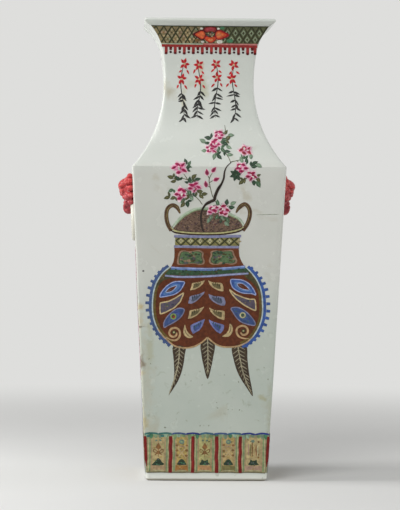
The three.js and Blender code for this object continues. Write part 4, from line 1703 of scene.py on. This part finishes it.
def flowering_rock(paint):
    """The side faces: a tall flowering branch rising from a rock."""
    rng = random.Random(33)
    paint.fill(smooth(SIDE_ROCK, steps=4), "periwinkle", 1)
    for cleft in CLEFTS:
        paint.stroke(smooth(cleft), 1.6, "cobalt", 3, taper=(0.6, 0.3))
    flecks(paint, SIDE_ROCK, 40, ("sea_green", "slate_blue", "mint"), 8, 2, (1.2, 2.6))
    paint.stroke(smooth(SIDE_ROCK), 1.4, "indigo", 4)
    for number, limb in enumerate(LIMBS):
        width = 2.2 if number else 4.4
        line = smooth(limb)
        paint.stroke(line, width, "bark", 3, taper=(1, 0.3))
        paint.stroke([(u + 0.3 * width, z) for u, z in line], 0.25 * width, "leg_brown", 4, taper=(1, 0.3))
        for p in even_points(line, 16)[2:]:
            near = (p[0] + rng.uniform(-7, 7), p[1] + rng.uniform(-4, 6))
            for _ in range(4):
                turn = math.radians(rng.uniform(0, 360))
                spot = (near[0] + 8.4 * math.cos(turn), near[1] + 8.4 * math.sin(turn))
                leaf_spray(paint, spot, rng.choice(("leaf_dark", "leaf_green", "leaf_olive")), near, rng)
            start = rng.uniform(0, 72)
            ring = [math.radians(start + 72 * i) for i in range(5)]
            dabs = [(near[0] + 4.4 * math.cos(a), near[1] + 4.4 * math.sin(a)) for a in ring]
            blossom(paint, dabs, rng, rng.choice(("magenta", "magenta", "rose_red")), 0.9, level=5)


# Masks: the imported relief's main swellings, with brows, eyes, nose, teeth and a mane worked over them

MASK_DROP = 32.0
MASK_GRAIN = 0.62
MASK_FACE = 15
# How far the masks and rings reach into the wall
SUNK = 0.4


def on_side(turn):
    """Takes a shape in millimetres, x out of the wall, onto a side wall at the masks' height."""
    z = SHOULDER_Z - MASK_DROP
    onto = (
        Matrix.Rotation(turn, 4, "Z")
        @ Matrix.Translation(Vector((half_width(z), 0, z)))
        @ Matrix.Rotation(math.atan(LEAN), 4, "Y")
    )
    return Matrix.Scale(MM, 4) @ onto


def ball(shape, centre, sizes, turn=0.0):
    """A rounded form of three half sizes, turned in the plane of the wall."""
    spin = Matrix.Rotation(math.radians(turn), 4, "X")
    place = Matrix.Translation(Vector(centre)) @ spin @ Matrix.Diagonal((*sizes, 1.0))
    bmesh.ops.create_icosphere(shape, subdivisions=3, radius=1.0, matrix=place)


def mask_forms():
    """A lion's head in millimetres: x out of the wall, y across, z up. A form stands once or as a pair."""
    middle = [
        ((1, 0, 6.2), (14.6, 17, 15.4)), ((8.2, 0, 9), (10.8, 10, 9.2)), ((12, 0, 2.4), (5.6, 3.8, 6.6)),
        ((12.9, 0, -1.6), (4.1, 5.4, 3)), ((6.4, 0, -19.4), (7.4, 7.8, 8.2)), ((2, 0, -9), (9, 15.5, 13.5)),
    ]
    paired = [
        ((12.6, 7.8, 8.4), (6, 6.4, 2.7), 12), ((13.2, 7.6, 2.9), (3.4, 3.6, 2.8), 0),
        ((9.1, 5.2, -5.6), (5.3, 5.6, 3.8), 0), ((5.4, 13.2, -4.6), (6.2, 5.6, 7.4), 0),
        ((6, 14.8, 14), (3.8, 3.8, 4.8), -30), ((10.2, 3.2, -10.4), (1.7, 1.3, 2.2), 0),
        ((11.3, 5.4, -17.6), (2.4, 2.2, 3.6), 0), ((6.2, 8, -12.6), (6.6, 4.4, 5.4), 0),
    ]
    for i in range(6):
        around = 64 - 27 * i
        a = math.radians(around)
        paired.append(((3, 18.4 * math.cos(a), 2 + 17.8 * math.sin(a)), (4.8, 3.9, 7), around - 90))
    return middle, paired


def lion_mask(name, turn, node):
    """The forms run together into one skin, cut flat at the back and combed."""
    forms = bmesh.new()
    middle, paired = mask_forms()
    for centre, sizes in middle:
        ball(forms, centre, sizes)
    for centre, sizes, lean in paired:
        for way in (-1, 1):
            ball(forms, (centre[0], way * centre[1], centre[2]), sizes, way * lean)
    made = linked(name, as_mesh(forms, name, CORAL))
    remesh = made.modifiers.new("remesh", "REMESH")
    remesh.mode = "VOXEL"
    remesh.voxel_size = MASK_GRAIN
    settle = made.modifiers.new("settle", "SMOOTH")
    settle.iterations = 4
    bpy.context.view_layer.update()
    skin = bpy.data.meshes.new_from_object(made.evaluated_get(bpy.context.evaluated_depsgraph_get()))
    made.modifiers.clear()
    made.data = skin
    shape = bmesh.new()
    shape.from_mesh(skin)
    parts = shape.verts[:] + shape.edges[:] + shape.faces[:]
    bmesh.ops.bisect_plane(shape, geom=parts, plane_co=(-SUNK, 0, 0), plane_no=(-1, 0, 0), clear_outer=True)
    for vertex in shape.verts:
        fur_grooves(vertex)
    shape.transform(on_side(turn))
    for face in shape.faces:
        face.smooth = True
    shape.to_mesh(skin)
    shape.free()
    enter(made, "coral_enamel", node)


def fur_grooves(vertex):
    """Combs shallow grooves into the mane and beard, round the face."""
    x, y, z = vertex.co
    away = math.hypot(y, z - 2)
    if away > MASK_FACE and x > 0.5:
        turn = math.atan2(z - 2, y)
        comb = math.sin(26 * turn + 0.35 * away)
        vertex.co.x += 0.3 * comb
        vertex.co.y += 0.2 * comb * y / away
        vertex.co.z += 0.2 * comb * (z - 2) / away


def mask_ring(name, turn, node):
    """The fixed ring below a mask: a moulded hoop with a beaded band, half sunk in the wall."""
    outer, thickness, drop, sides, steps, beads = 27.0, 8.0, 8.5, 16, 96, 24
    tube = thickness / 2
    middle = outer - tube
    shape = bmesh.new()
    rings = []
    for i in range(steps):
        a = 2 * math.pi * i / steps
        swell = 1 + 0.05 * math.cos(beads * a)
        ring = []
        for k in range(sides):
            b = 2 * math.pi * k / sides
            reach = middle + tube * math.cos(b)
            out = tube * math.sin(b) * (swell if math.sin(b) > 0.5 else 1)
            place = (max(out, -SUNK), reach * math.sin(a), -drop - outer + reach * math.cos(a))
            ring.append(shape.verts.new(place))
        rings.append(ring)
    join_rings(shape, rings)
    shape.transform(on_side(turn))
    enter(linked(name, as_mesh(shape, name, RING_GLAZE)), "glazed_porcelain", node)


# Studio


def studio():
    """The floor, which bends up into a backdrop behind the vase."""
    reach, back, height, bend, steps = 6.0, 4.2, 4.0, 1.0, 10
    path = [(-reach, 0.0), (back - bend, 0.0)]
    for i in range(1, steps + 1):
        a = math.pi / 2 * i / steps
        path.append((back - bend + bend * math.sin(a), bend - bend * math.cos(a)))
    path.append((back, height))
    shape = bmesh.new()
    rows = [[shape.verts.new((x, y, z)) for x in (-reach, reach)] for y, z in path]
    for a, b in zip(rows, rows[1:]):
        shape.faces.new((a[0], a[1], b[1], b[0])).smooth = True
    linked("floor", as_mesh(shape, "floor", floor_material()))


# Each lamp: its place and what it is turned to (m), its width and height (m), and its power (W)
LAMPS = {
    "key_light": ((-0.7, -1.6, 2.0), (0, 0, 0.4), (1.1, 1.1), 24.5),
    "fill_light": ((1.2, -2.3, 0.9), (0, 0, 0.3), (0.9, 1.6), 6),
    "left_strip": ((-1.4, -0.1, 0.9), (0, 0, 0.35), (0.5, 1.0), 19),
    "right_strip": ((1.5, 0.2, 0.5), (0, 0, 0.3), (0.5, 1.6), 6),
}
WORLD_LIGHT = 0.32


def lights():
    """Soft lamps, and a world that lights the vase weakly and shows the pale backdrop."""
    for name, (place, target, size, power) in LAMPS.items():
        light = bpy.data.lights.new(name, "AREA")
        light.shape = "RECTANGLE"
        light.size, light.size_y = size
        light.energy = power
        lamp = linked(name, light)
        lamp.location = place
        lamp.rotation_euler = (Vector(target) - Vector(place)).to_track_quat("-Z", "Y").to_euler()
    world = bpy.data.worlds.new("studio")
    bpy.context.scene.world = world
    nodes = Nodes(world)
    glow = nodes.tree.nodes["Background"]
    glow.inputs["Color"].default_value = WHITE
    glow.inputs["Strength"].default_value = WORLD_LIGHT
    shown = nodes.add("ShaderNodeBackground", {"Color": linear(BACKDROP)})
    both = nodes.mix_shader(seen_directly(nodes), glow.outputs[0], shown.outputs[0])
    nodes.put(both, nodes.tree.nodes["World Output"].inputs["Surface"])


def camera():
    """The photograph's view: 3 m away, 339 mm up and 2 degrees left of the front, with a little roll."""
    distance, height, azimuth, roll = 2.979, 0.33877, math.radians(1.923), math.radians(0.469)
    aim_left, aim_height = 0.00793, 0.28226
    place = Vector((-distance * math.sin(azimuth), -distance * math.cos(azimuth), height))
    data = bpy.data.cameras.new("camera")
    data.sensor_width = 36
    data.lens = 163.46
    made = linked("camera", data)
    aim = Vector((-aim_left * math.cos(azimuth), aim_left * math.sin(azimuth), aim_height))
    look = (aim - place).to_track_quat("-Z", "Y").to_matrix().to_4x4()
    made.matrix_world = Matrix.Translation(place) @ look @ Matrix.Rotation(roll, 4, "Z")
    bpy.context.scene.camera = made
    bpy.context.scene.view_settings.view_transform = "Standard"


GLAZED = glaze_material("porcelain_glaze", (255, 255, 255))
RING_GLAZE = glaze_material("ring_glaze", (255, 251, 244))
CORAL = coral_material()
BISCUIT = biscuit_material()

glazed_shell("glazed_walls", walls_outline(), "wall")
glazed_shell("glazed_neck", neck_outline(), "neck")
glazed_shell("glazed_foot", foot_outline(), "foot")
glazed_shell("glazed_lip", lip_outline(), "lip")

lion_mask("coral_mask_right", 0.0, "lion_mask_right")
lion_mask("coral_mask_left", math.pi, "lion_mask_left")
mask_ring("glazed_ring_right", 0.0, "mask_ring_right")
mask_ring("glazed_ring_left", math.pi, "mask_ring_left")

for number, face_side in enumerate(SIDES):
    painting = Painting()
    foot_border(painting, 40 + number)
    if face_side in ("front", "back"):
        mouth_border(painting, 60 + number)
        glaze_marks(painting)
        neck_sprigs(painting)
        bronze_with_flowers(painting)
    else:
        flowering_rock(painting)
    painting.object(f"enamels_{face_side}", face_side)

for name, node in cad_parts.items():
    node.data.materials.clear()
    node.data.materials.append(BISCUIT if "coil" in name else GLAZED)

studio()
lights()
camera()
